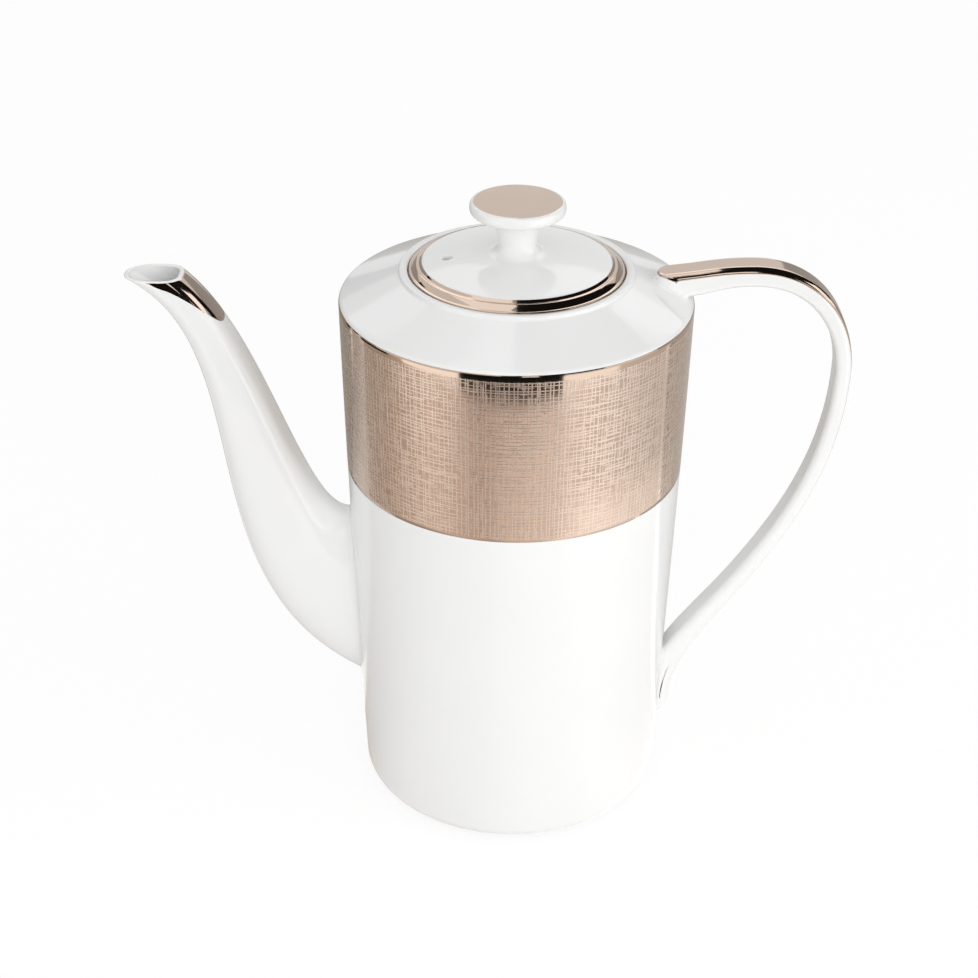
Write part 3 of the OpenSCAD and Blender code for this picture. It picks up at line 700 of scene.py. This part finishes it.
def rim_line():
    """The lid's rim from its edge inwards: a rolled edge, a narrow flat brim, a broad sloping band, a narrow
    ledge and a second, shorter slope up to the dome."""
    r, z = LID_R, EDGE_Z
    edge = bend([(r, z - 0.5), (r, z), (r - 0.35, z + 0.02)], 6)
    brim = line(edge[-1], (r - 0.6, z + 0.05), 3)
    foot = bend([brim[-1], (r - 0.8, z + 0.07), (r - 0.95, z + 0.25)], 5)
    band = bend([foot[-1], (r - 1.5, z + 0.9), (r - 2.25, z + 1.45)], 8)
    crest = bend([band[-1], (r - 2.4, z + 1.56), (r - 2.55, z + 1.58)], 6)
    ledge = line(crest[-1], (r - 3.1, z + 1.62), 3)
    rise = bend([ledge[-1], (r - 3.25, z + 1.63), (r - 3.35, z + 1.73)], 5)
    slope_up = line(rise[-1], (DOME_R + 0.12, DOME_Z - 0.1), 4)
    last = bend([slope_up[-1], (DOME_R + 0.04, DOME_Z - 0.02), (DOME_R, DOME_Z)], 4)
    return join(edge, brim, foot, band, crest, ledge, rise, slope_up, last)


def dome_z(r):
    """Height of the dome at radius r: from its edge to the knob's foot it rises as a quarter turn's sine."""
    t = np.clip((DOME_R - r) / (DOME_R - KNOB_FOOT_R), 0, 1)
    return DOME_Z + (KNOB_SEAT_Z - DOME_Z) * np.sin(t * np.pi / 2)


def round_vent(patch, c, drop):
    """A block of the dome, moved in plan so that it circles the vent, and set back on the dome."""
    a = math.radians(VENT_ANGLE)
    middle = VENT_OFFSET * np.array([math.cos(a), math.sin(a)])
    flat = pulled_to_circle(patch[..., :2] - middle, VENT_R, c) + middle
    return np.dstack([flat, dome_z(np.linalg.norm(flat, axis=-1)) - drop])


def lid_piece():
    """The lid's shell with its rim and dome above, its flat seat and its hollow below. Round the vent the
    grid is pulled to a circle, and a tunnel joins the dome to the hollow."""
    segments, half = 240, 3
    rim = rim_line()
    inner_r = FLANGE_R - FLANGE_T
    pitch = 2 * np.pi / segments * VENT_OFFSET
    vent_r = VENT_OFFSET + pitch * np.arange(2 * half, -2 * half - 1, -1)
    before = np.linspace(DOME_R, vent_r[0], 10)[1:-1]
    after = np.linspace(vent_r[-1], KNOB_FOOT_R, 14)[1:]
    dome_r = np.concatenate([before, vent_r, after])
    dome = np.stack([dome_r, dome_z(dome_r)], axis=1)
    hollow = np.stack([dome_r[1:][::-1], dome_z(dome_r[1:][::-1]) - LID_T], axis=1)
    hollow = hollow[hollow[:, 0] < inner_r - 0.8]
    profile = np.vstack([rim - [0, FILM_IN], dome, [(0, KNOB_SEAT_Z)], [(0, KNOB_SEAT_Z - LID_T)], hollow,
                         bend([(inner_r - 0.7, dome_z(inner_r - 0.7) - LID_T),
                               (inner_r, dome_z(inner_r) - LID_T), (inner_r, LEDGE_Z + 0.3)], 6),
                         [(inner_r, LEDGE_Z), (LID_R - 0.5, LEDGE_Z)],
                         bend([(LID_R - 0.45, LEDGE_Z), (LID_R, LEDGE_Z), (LID_R, LEDGE_Z + 0.5)], 5)])
    profile = np.vstack([profile, profile[:1]])
    return pierced("lid", revolved(profile, segments, VENT_ANGLE - 180), half, round_vent,
                   (len(rim) + len(before), 0), (len(rim) + len(dome) + 1 + len(after), LID_T))


def flange_piece():
    """The flange under the lid: a plain ring with rounded lower edges."""
    inner_r, r = FLANGE_R - FLANGE_T, 1.2
    return turned("flange", join(
        (inner_r, LEDGE_Z + 0.05),
        arc((inner_r + r, FLANGE_LOW_Z + r), r, 180, 270, 8),
        arc((FLANGE_R - r, FLANGE_LOW_Z + r), r, 270, 360, 8),
        (FLANGE_R, LEDGE_Z + 0.05)))


def rim_lustre_piece():
    """The lustre on the lid's rim: the rim's own line as a skin."""
    rim = rim_line()
    return turned("rim_lustre", join(rim, rim[::-1] - [0, FILM_IN * 1.2]), segments=300)


def knob_piece():
    """The knob: flat top, rounded disc, concave neck and a foot that flows into the dome."""
    rim_r, disc_z = CAP_R + KNOB_LIP, KNOB_TOP_Z - KNOB_DISC
    top_z = KNOB_TOP_Z - FILM_OUT
    foot_r = KNOB_FOOT_R + KNOB_FOOT_SPREAD
    foot_z = dome_z(foot_r)
    return turned("knob_body", join(
        (0, top_z), (CAP_R - 0.2, top_z),
        bezier([(CAP_R - 0.2, top_z), (rim_r - 0.15, top_z - 0.05), (rim_r, top_z - 0.9),
                (rim_r, KNOB_TOP_Z - KNOB_DISC / 2)], np.linspace(0, 1, 12)),
        bezier([(rim_r, KNOB_TOP_Z - KNOB_DISC / 2), (rim_r, disc_z + 0.7), (rim_r - 1.2, disc_z),
                (rim_r - 2.6, disc_z - 0.1)], np.linspace(0, 1, 12)),
        bezier([(rim_r - 2.6, disc_z - 0.1), (KNOB_NECK_R + 2.4, disc_z - 0.6),
                (KNOB_NECK_R + 0.3, disc_z - 3.6), (KNOB_NECK_R, disc_z - 8.4)], np.linspace(0, 1, 18)),
        bezier([(KNOB_NECK_R, disc_z - 8.4), (KNOB_NECK_R, disc_z - 10.6), (KNOB_NECK_R + 1.2, foot_z + 0.05),
                (foot_r, foot_z - 0.06)], np.linspace(0, 1, 28)),
        (foot_r + 0.1, foot_z - 0.12), (foot_r - 0.5, foot_z - 0.8), (0, foot_z - 0.8)),
        segments=180, closed=False)


def cap_lustre_piece():
    """The lustre on the knob's top: a thin disc with a rolled edge."""
    return turned("cap_lustre", join(
        (0, KNOB_TOP_Z), (CAP_R - 0.35, KNOB_TOP_Z),
        bend([(CAP_R - 0.35, KNOB_TOP_Z), (CAP_R, KNOB_TOP_Z), (CAP_R, KNOB_TOP_Z - 0.12)], 6),
        (CAP_R - 0.3, KNOB_TOP_Z - 0.3), (0, KNOB_TOP_Z - 0.3)), segments=180, closed=False)


# ---- Materials ----

def colour(hex_code):
    """Linear RGBA from an sRGB hex code."""
    srgb = [int(hex_code[i:i + 2], 16) / 255 for i in (1, 3, 5)]
    return [c / 12.92 if c <= 0.04045 else ((c + 0.055) / 1.055) ** 2.4 for c in srgb] + [1]


def add(tree, kind, sockets=None, **settings):
    """Adds a shader node with its settings. Each of its sockets gets a value, or a link from another node."""
    node = tree.nodes.new("ShaderNode" + kind)
    for key, value in settings.items():
        setattr(node, key, value)
    for key, value in (sockets or {}).items():
        if isinstance(value, bpy.types.NodeSocket):
            tree.links.new(value, node.inputs[key])
        else:
            node.inputs[key].default_value = value
    return node


def calc(tree, operation, *terms):
    """The result of a math node on links or numbers."""
    return add(tree, "Math", dict(enumerate(terms)), operation=operation).outputs[0]


def ranged(tree, value, start=0, end=1, low=0, high=1):
    """A value carried from one range over to another, and kept within it."""
    return add(tree, "MapRange", {"Value": value, "From Min": start, "From Max": end,
                                  "To Min": low, "To Max": high}).outputs[0]


def noise(tree, at, scale, detail):
    """Noise at a place, with so many lumps to a unit and so many finer layers."""
    return add(tree, "TexNoise", {"Vector": at, "Scale": scale, "Detail": detail}).outputs[0]


def glow(tree, strength, kind="Emission"):
    """A shader that glows white."""
    return add(tree, kind, {"Color": (1, 1, 1, 1), "Strength": strength}).outputs[0]


def tinted(tree, shader, amount, low, high):
    """Colours a shader from one tone to another by an amount."""
    tint = add(tree, "Mix", {"Factor": amount, "A": colour(low), "B": colour(high)}, data_type="RGBA")
    tree.links.new(tint.outputs["Result"], shader.inputs["Base Color"])


def roughened(tree, shader, amount, low, high):
    """Makes a shader rough from one measure to another by an amount."""
    tree.links.new(ranged(tree, amount, low=low, high=high), shader.inputs["Roughness"])


def embossed(tree, shader, height, strength, distance):
    """Gives a shader relief by a height, over a distance in metres."""
    bump = add(tree, "Bump", {"Height": height, "Strength": strength, "Distance": distance})
    tree.links.new(bump.outputs[0], shader.inputs["Normal"])


def emptied(holder):
    """The node tree of a material or a world, with nothing in it."""
    holder.use_nodes = True
    holder.node_tree.nodes.clear()
    return holder.node_tree


def new_material(name, **principled):
    """A material with one Principled shader, its sockets set as given."""
    material = bpy.data.materials.new(name)
    tree = emptied(material)
    shader = add(tree, "BsdfPrincipled", principled)
    add(tree, "OutputMaterial", {"Surface": shader.outputs[0]})
    return material, tree, shader


# Noise scales, in lumps to a metre
GLAZE_CLOUD = 28          # shade in the glaze, in clouds about 36 mm across
GLAZE_RIPPLE = 160        # the glaze's ripple, about 6 mm
GRIT = 2500               # the tread's grit, about 0.4 mm
BRUSH_CLOUD = 90          # clouds that the brush leaves in the lustre, about 11 mm


def glazed_china():
    """Bone china under a clear fired glaze: cool white and glossy, with a faint ripple and shade in it."""
    material, tree, shader = new_material("glazed_bone_china", IOR=1.52, Roughness=0.1)
    at = add(tree, "TexCoord").outputs["Object"]
    tinted(tree, shader, noise(tree, at, GLAZE_CLOUD, 3), "#F3F4F3", "#F8F8F7")
    embossed(tree, shader, noise(tree, at, GLAZE_RIPPLE, 2), 0.02, 0.001)
    return material


def bare_china():
    """Unglazed fired china of the tread: warm off-white, matt, with fine grit."""
    material, tree, shader = new_material("unglazed_bone_china", Roughness=0.85)
    grit = noise(tree, add(tree, "TexCoord").outputs["Object"], GRIT, 4)
    tinted(tree, shader, grit, "#DEDBD2", "#EFEDE6")
    embossed(tree, shader, grit, 0.3, 0.0002)
    return material


def plain_lustre():
    """Platinum lustre over glaze, rose grey: a mirror film, barely clouded by the brush that laid it."""
    material, tree, shader = new_material("platinum_lustre_plain", Metallic=1, Roughness=0.12)
    cloud = noise(tree, add(tree, "TexCoord").outputs["Object"], BRUSH_CLOUD, 4)
    tinted(tree, shader, cloud, "#BEAB9C", "#C6B4A6")
    roughened(tree, shader, cloud, 0.05, 0.1)
    return material


# How a thread is drawn: the share of its pitch that its middle wanders over, the softness of its edge as a
# share of its half width, the step in noise from one thread to the next, and the band of noise in which it
# breaks off, with that band's fade
WANDER = 0.5
EDGE_SOFT = 0.3
NOISE_STEP = 7.3
BREAK_BAND = 0.4
BREAK_FADE = 0.03


def threads(tree, across, along, pitch, width, run, shown, seed):
    """Adds lines of a given width, one to each pitch across at an irregular place, each broken at random
    along its run, all in millimetres. Gives 1 on a line and 0 off it."""
    cell = calc(tree, "DIVIDE", across, pitch)
    number = calc(tree, "FLOOR", cell)
    within = calc(tree, "FRACT", cell)
    random = add(tree, "TexWhiteNoise", {"W": calc(tree, "ADD", number, seed)}, noise_dimensions="1D")
    middle = calc(tree, "MULTIPLY_ADD", random.outputs["Value"], WANDER, (1 - WANDER) / 2)
    off = calc(tree, "ABSOLUTE", calc(tree, "SUBTRACT", within, middle))
    half = width / pitch / 2
    drawn = ranged(tree, off, half * (1 + EDGE_SOFT), half * (1 - EDGE_SOFT))
    row, way = calc(tree, "MULTIPLY_ADD", number, NOISE_STEP, seed), calc(tree, "DIVIDE", along, run)
    broken = noise(tree, add(tree, "CombineXYZ", {"X": row, "Y": way}).outputs[0], 1, 1)
    least = 0.5 + (0.5 - shown) * BREAK_BAND
    return calc(tree, "MULTIPLY", drawn, ranged(tree, broken, least, least + BREAK_FADE))


# The printed linen's threads: across or along, pitch, width, length of a dash, share shown, seed
WARP = [(1.3, 0.27, 9, 0.85, 3.1), (1.0, 0.2, 6, 0.5, 17.7)]
WEFT = [(1.25, 0.25, 8, 0.75, 41.9), (0.95, 0.18, 5, 0.45, 63.3)]
BORDER_TOP = 0.9          # width of the plain borders over and under the linen
BORDER_LOW = 1
BORDER_FADE = 0.2


def linen_lustre():
    """Platinum lustre laid on a printed linen relief: smooth cells between fine matt threads, some broken.
    The threads are laid a little coarser than the real ones, so that they show."""
    material, tree, shader = new_material("platinum_lustre_linen", Metallic=1, Roughness=0.2)
    uv = add(tree, "TexCoord").outputs["UV"]
    split = add(tree, "SeparateXYZ", {"Vector": uv})
    u, v = split.outputs["X"], split.outputs["Y"]
    weave = None
    for across, along, kinds in ((u, v, WARP), (v, u, WEFT)):
        for kind in kinds:
            drawn = threads(tree, across, along, *kind)
            weave = drawn if weave is None else calc(tree, "MAXIMUM", weave, drawn)
    top_edge = ranged(tree, v, BAND_H - BORDER_TOP, BAND_H - BORDER_TOP - BORDER_FADE)
    low_edge = ranged(tree, v, BORDER_LOW - BORDER_FADE / 2, BORDER_LOW + BORDER_FADE / 2)
    relief = calc(tree, "MULTIPLY", weave, calc(tree, "MULTIPLY", top_edge, low_edge))
    tinted(tree, shader, relief, "#C1AD9E", "#DCCDC1")
    roughened(tree, shader, relief, 0.08, 0.36)
    embossed(tree, shader, relief, 0.35, 0.00005)
    return material


china, tread, lustre, linen = glazed_china(), bare_china(), plain_lustre(), linen_lustre()


# ---- Pieces on their bodies ----

def place(piece, material, body, slot, *nodes):
    """Gives a piece its material, lets it ride on its body and stand for its nodes."""
    piece.data.materials.append(material)
    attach(piece, body)
    if nodes:
        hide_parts(*nodes)
    return piece


place(body_piece(), china, "pot", "glazed_china", "body_shell")
place(foot_piece(), tread, "pot", "bare_china", "foot_ring")
place(band_piece(), linen, "pot", "linen_lustre", "body_band_lustre")
place(spout_piece(), china, "pot", "glazed_china", "spout")
place(lip_lustre_piece(), lustre, "pot", "plain_lustre", "spout_lip_lustre")
place(handle_piece(), china, "pot", "glazed_china", "handle")
place(stripe_piece(), lustre, "pot", "plain_lustre", "handle_stripe_lustre")
place(lid_piece(), china, "lid", "glazed_china", "lid_shell")
place(flange_piece(), china, "lid", "glazed_china", "lid_flange")
place(rim_lustre_piece(), lustre, "lid", "plain_lustre", "lid_rim_lustre")
place(knob_piece(), china, "lid", "glazed_china", "knob")
place(cap_lustre_piece(), lustre, "lid", "plain_lustre", "knob_cap_lustre")


# ---- Floor, cards and light ----

def sheet(name, points, faces=((0, 1, 2, 3),)):
    """A flat stage mesh from points in metres."""
    mesh = bpy.data.meshes.new(name)
    mesh.from_pydata([tuple(p) for p in points], [], [tuple(f) for f in faces])
    piece = new_object(name, mesh)
    return piece


def seen_only_in_gloss(piece):
    """Keeps a card of the studio out of the camera's view, the shade and the soft light."""
    piece.visible_camera = False
    piece.visible_diffuse = False
    piece.visible_shadow = False
    piece.visible_transmission = False


def seen_or_mirrored(tree):
    """1 for the camera's own rays and for those that metal, glaze or glass send on, 0 for the rest."""
    ray = add(tree, "LightPath").outputs
    seen = ray["Is Camera Ray"]
    for kind in ("Is Glossy Ray", "Is Transmission Ray"):
        seen = calc(tree, "MAXIMUM", seen, ray[kind])
    return seen


FLOOR_HALF = 6
FLOOR_GLOW = 0.8          # the floor's glow to the camera and the gloss, beside the light that it takes
SOFT_LIGHT = 0.7          # the world's soft light on the pot, where 1 is the white behind it
floor = sheet("floor", [(-FLOOR_HALF, -FLOOR_HALF, 0), (FLOOR_HALF, -FLOOR_HALF, 0),
                        (FLOOR_HALF, FLOOR_HALF, 0), (-FLOOR_HALF, FLOOR_HALF, 0)])
material = bpy.data.materials.new("white_sweep")
tree = emptied(material)
plain = add(tree, "BsdfDiffuse", {"Color": colour("#F2F2F2")})
dim = add(tree, "BsdfDiffuse", {"Color": colour("#888888")})
both = add(tree, "AddShader", {0: glow(tree, FLOOR_GLOW), 1: dim.outputs[0]})
mix = add(tree, "MixShader", {"Fac": seen_or_mirrored(tree), 1: plain.outputs[0], 2: both.outputs[0]})
add(tree, "OutputMaterial", {"Surface": mix.outputs[0]})
floor.data.materials.append(material)

world = bpy.data.worlds.new("studio")
bpy.context.scene.world = world
tree = emptied(world)
mix = add(tree, "MixShader", {"Fac": seen_or_mirrored(tree), 1: glow(tree, SOFT_LIGHT, "Background"),
                              2: glow(tree, 1, "Background")})
add(tree, "OutputWorld", {"Surface": mix.outputs[0]})


def card_material(name, strength):
    """A card that glows evenly: black velvet at 0, white board near 1."""
    card = bpy.data.materials.new(name)
    nodes = emptied(card)
    add(nodes, "OutputMaterial", {"Surface": glow(nodes, strength)})
    return card


black_velvet = card_material("black_velvet", 0.01)
grey_board = card_material("grey_board", 0.45)
softbox_cloth = card_material("softbox_cloth", 1.45)
bright_cloth = card_material("bright_cloth", 1.8)
CARD_HIGH = 1.5
FLAG_Y = -1.0


def upright(start, end, low, high):
    """Corners of an upright card over the line between two places (x, y), from one height to another."""
    return [(*start, low), (*end, low), (*end, high), (*start, high)]


def level(*places):
    """Corners of a card that lies level overhead, from its places (x, y)."""
    return [(*place_xy, CARD_HIGH) for place_xy in places]


# Cards that only gloss shows, as outlines in metres: black flags in front, overhead on the right and at both
# sides, a small bright card low in front, grey boards behind at both sides, and the cloths of three
# softboxes, overhead, behind and on the right.
CARDS = {
    "flag_front": (black_velvet, [(x, FLAG_Y, z) for x, z in (
        (-0.67, 0), (0.53, 0), (0.53, 0.45), (2.0, 0.45),
        (2.0, 1.25), (-0.17, 1.25), (-0.17, 0.45), (-0.67, 0.45))]),
    "flag_right": (black_velvet, level((0.0, 1.0), (0.0, -0.35), (-0.1, -0.7), (-0.1, -1.3),
                                       (2.0, -1.3), (2.0, 1.0))),
    "flag_side": (black_velvet, [(1.2, 0.1, 0.5), (1.2, 1.0, 0.35), (1.2, 1.0, 1.2), (1.2, 0.1, 1.4)]),
    "flag_left": (black_velvet, upright((-1.2, 0.45), (-1.2, 0.97), 0.45, 0.78)),
    "card_low": (softbox_cloth, upright((0.05, -0.95), (0.22, -0.95), 0.3, 0.62)),
    "board_left": (grey_board, upright((-2.6, 0.2), (-0.75, 2.3), 0, 0.85)),
    "board_right": (grey_board, upright((2.6, 0.2), (0.75, 2.3), 0, 0.85)),
    "softbox_back": (bright_cloth, upright((-1.6, 2.0), (1.6, 2.0), 1.35, 2.9)),
    "softbox_right": (bright_cloth, upright((1.3, -1.3), (1.9, 0.3), 0.45, 1.3)),
    "softbox_cloth": (softbox_cloth, level((-1.0, -1.0), (0.0, -1.0), (0.0, 0.4), (-1.0, 0.4))),
}
for name, (finish, outline) in CARDS.items():
    card = sheet(name, outline, [range(len(outline))])
    card.data.materials.append(finish)
    seen_only_in_gloss(card)

# Painted reflection of a table: a disc just over the floor, whose glow changes round the pot and paints the
# light and shade that the lustre mirrors.
# Its glow was worked out from the mean colours of the photo's band at eight places, and then adjusted.
# Azimuths run from the front towards the handle, in degrees, with the glow there as red, green, blue.
TABLE_PAINTED_REFLECTION = [
    (-180, (0.4, 0.37, 0.33)), (-128, (0.34, 0.31, 0.28)), (-127, (1.15, 1.1, 1.02)),
    (-113, (1.1, 1.02, 0.95)), (-112, (0.58, 0.5, 0.44)), (-85, (0.6, 0.51, 0.45)),
    (-52, (1.0, 0.87, 0.78)), (-20, (0.8, 0.68, 0.61)), (-6, (1.05, 0.94, 0.87)), (14, (1.2, 1.08, 1.0)),
    (34, (1.15, 1.08, 1.04)), (60, (1.05, 1.0, 0.97)), (75, (0.92, 0.88, 0.85)), (104, (0.8, 0.75, 0.71)),
    (107, (1.4, 1.35, 1.3)), (110, (1.4, 1.35, 1.3)), (111, (0.66, 0.61, 0.56)), (135, (0.58, 0.55, 0.52)),
    (160, (0.62, 0.6, 0.58)), (180, (0.5, 0.48, 0.46))]
# Beyond the table's edge: a dark painted reflection, with white glow between that paints white boards
BLACK, WHITE = (0.01, 0.01, 0.01), (1.7, 1.66, 1.62)
FAR_PAINTED_REFLECTION = [
    (-180, (0.4, 0.37, 0.33)), (-128, (0.34, 0.31, 0.28)), (-127, BLACK), (-84, BLACK),
    (-83, (0.6, 0.51, 0.45)),
    (-73, (0.8, 0.7, 0.6)), (-72, WHITE), (-35, WHITE), (-34, BLACK), (27, BLACK), (28, WHITE), (63, WHITE),
    (64, (1.0, 0.96, 0.93)), (129, (0.6, 0.56, 0.52)), (180, (0.4, 0.38, 0.36))]
NEAR_R = 0.24             # nearer the pot than this, painted light makes the table's glow stronger on the handle's side
NEAR_FADE = 0.03
NONE, MORE = (0, 0, 0), (0.5, 0.5, 0.5)
NEAR_PAINTED_LIGHT = [(-180, NONE), (25, NONE), (45, MORE), (105, MORE), (128, NONE), (180, NONE)]
TABLE_R = 0.431           # the round table of the painted reflection, whose middle is behind the pot
TABLE_BACK = 0.086
TABLE_FADE = 0.001
DISC_R = 3
DISC_Z = 0.0004
turns = np.radians(np.arange(0, 360, 5))
disc_points = [(0, 0, DISC_Z)] + [(DISC_R * math.cos(a), DISC_R * math.sin(a), DISC_Z) for a in turns]
# The disc of painted reflection, whose glow paints light and shade that only gloss shows
table = sheet("painted_table_reflection", disc_points,
              [(0, 1 + k, 1 + (k + 1) % len(turns)) for k in range(len(turns))])
material = bpy.data.materials.new("painted_table_reflection")
tree = emptied(material)
place_of = add(tree, "TexCoord").outputs["Object"]
xyz = add(tree, "SeparateXYZ", {"Vector": place_of})
azimuth = calc(tree, "ARCTAN2", xyz.outputs["X"], calc(tree, "MULTIPLY", xyz.outputs["Y"], -1))
share = calc(tree, "MULTIPLY_ADD", azimuth, 1 / (2 * math.pi), 0.5)
glows = []
for stops in (TABLE_PAINTED_REFLECTION, FAR_PAINTED_REFLECTION, NEAR_PAINTED_LIGHT):
    node = add(tree, "ValToRGB", {"Fac": share})
    scale = node.color_ramp
    while len(scale.elements) > 1:
        scale.elements.remove(scale.elements[-1])
    for k, (degrees, value) in enumerate(stops):
        position = degrees / 360 + 0.5
        element = scale.elements[0] if k == 0 else scale.elements.new(position)
        element.position = position
        element.color = (*value, 1)
    glows.append(node.outputs[0])
from_middle = add(tree, "VectorMath", {0: place_of, 1: (0, TABLE_BACK, 0)}, operation="DISTANCE")
beyond = ranged(tree, from_middle.outputs["Value"], TABLE_R - TABLE_FADE, TABLE_R + TABLE_FADE)
radius = add(tree, "VectorMath", {0: place_of}, operation="LENGTH")
near = ranged(tree, radius.outputs["Value"], NEAR_R + NEAR_FADE, NEAR_R)
more = calc(tree, "MULTIPLY_ADD", near, glows[2], 1)
shade = add(tree, "Mix", {"Factor": beyond, "A": glows[0], "B": glows[1]}, data_type="RGBA")
shine = add(tree, "Emission", {"Color": shade.outputs["Result"], "Strength": more})
add(tree, "OutputMaterial", {"Surface": shine.outputs[0]})
table.data.materials.append(material)
seen_only_in_gloss(table)


def stood(at, right, up, back):
    """The matrix of a lamp or a camera at a place in metres, whose own axes lie along three unit vectors."""
    turned_by = Matrix([list(row) for row in np.stack([right, up, back], axis=1)])
    return Matrix.Translation(at) @ turned_by.to_4x4()


def softbox(name, position, target, size, power):
    """A rectangular soft light at a position, turned to face a target, both in metres."""
    data = bpy.data.lights.new(name, "AREA")
    data.shape = "RECTANGLE"
    data.size, data.size_y = size
    data.energy = power
    lamp = new_object(name, data)
    back = unit(np.array(position, float) - np.array(target, float))
    side = unit(np.cross([0, 0, 1], back))
    lamp.matrix_world = stood(position, side, np.cross(back, side), back)
    lamp.visible_glossy = False


POT_MIDDLE = (0, 0, 0.09)
softbox("key_front", (0.3, -1.6, 0.5), POT_MIDDLE, (1.2, 1.0), 8.5)
softbox("key_right", (1.5, -0.6, 0.5), POT_MIDDLE, (1.0, 0.9), 2.7)

scene = bpy.context.scene
scene.view_settings.view_transform = "Standard"

# Camera: its place in metres, its turn from looking along +Y, its tilt and roll, and its focal length
CAMERA_AT = (-0.009385, -0.537675, 0.421911)
CAMERA_TURN = 0.00255
CAMERA_TILT = 0.5297
CAMERA_ROLL = 0.0082
FOCAL_PIXELS = 1900
IMAGE_PIXELS = 978

camera_data = bpy.data.cameras.new("camera")
camera_data.sensor_width = 36
camera_data.lens = camera_data.sensor_width * FOCAL_PIXELS / IMAGE_PIXELS
camera_data.clip_start = 0.01
camera_data.clip_end = 50
camera = new_object("camera", camera_data)
turn, tilt, roll = CAMERA_TURN, CAMERA_TILT, CAMERA_ROLL
forward = np.array([math.sin(turn) * math.cos(tilt), math.cos(turn) * math.cos(tilt), -math.sin(tilt)])
sideways = np.array([math.cos(turn), -math.sin(turn), 0])
overhead = np.cross(sideways, forward)
right = math.cos(roll) * sideways + math.sin(roll) * overhead
up = math.cos(roll) * overhead - math.sin(roll) * sideways
camera.matrix_world = stood(CAMERA_AT, right, up, -forward)
scene.camera = camera
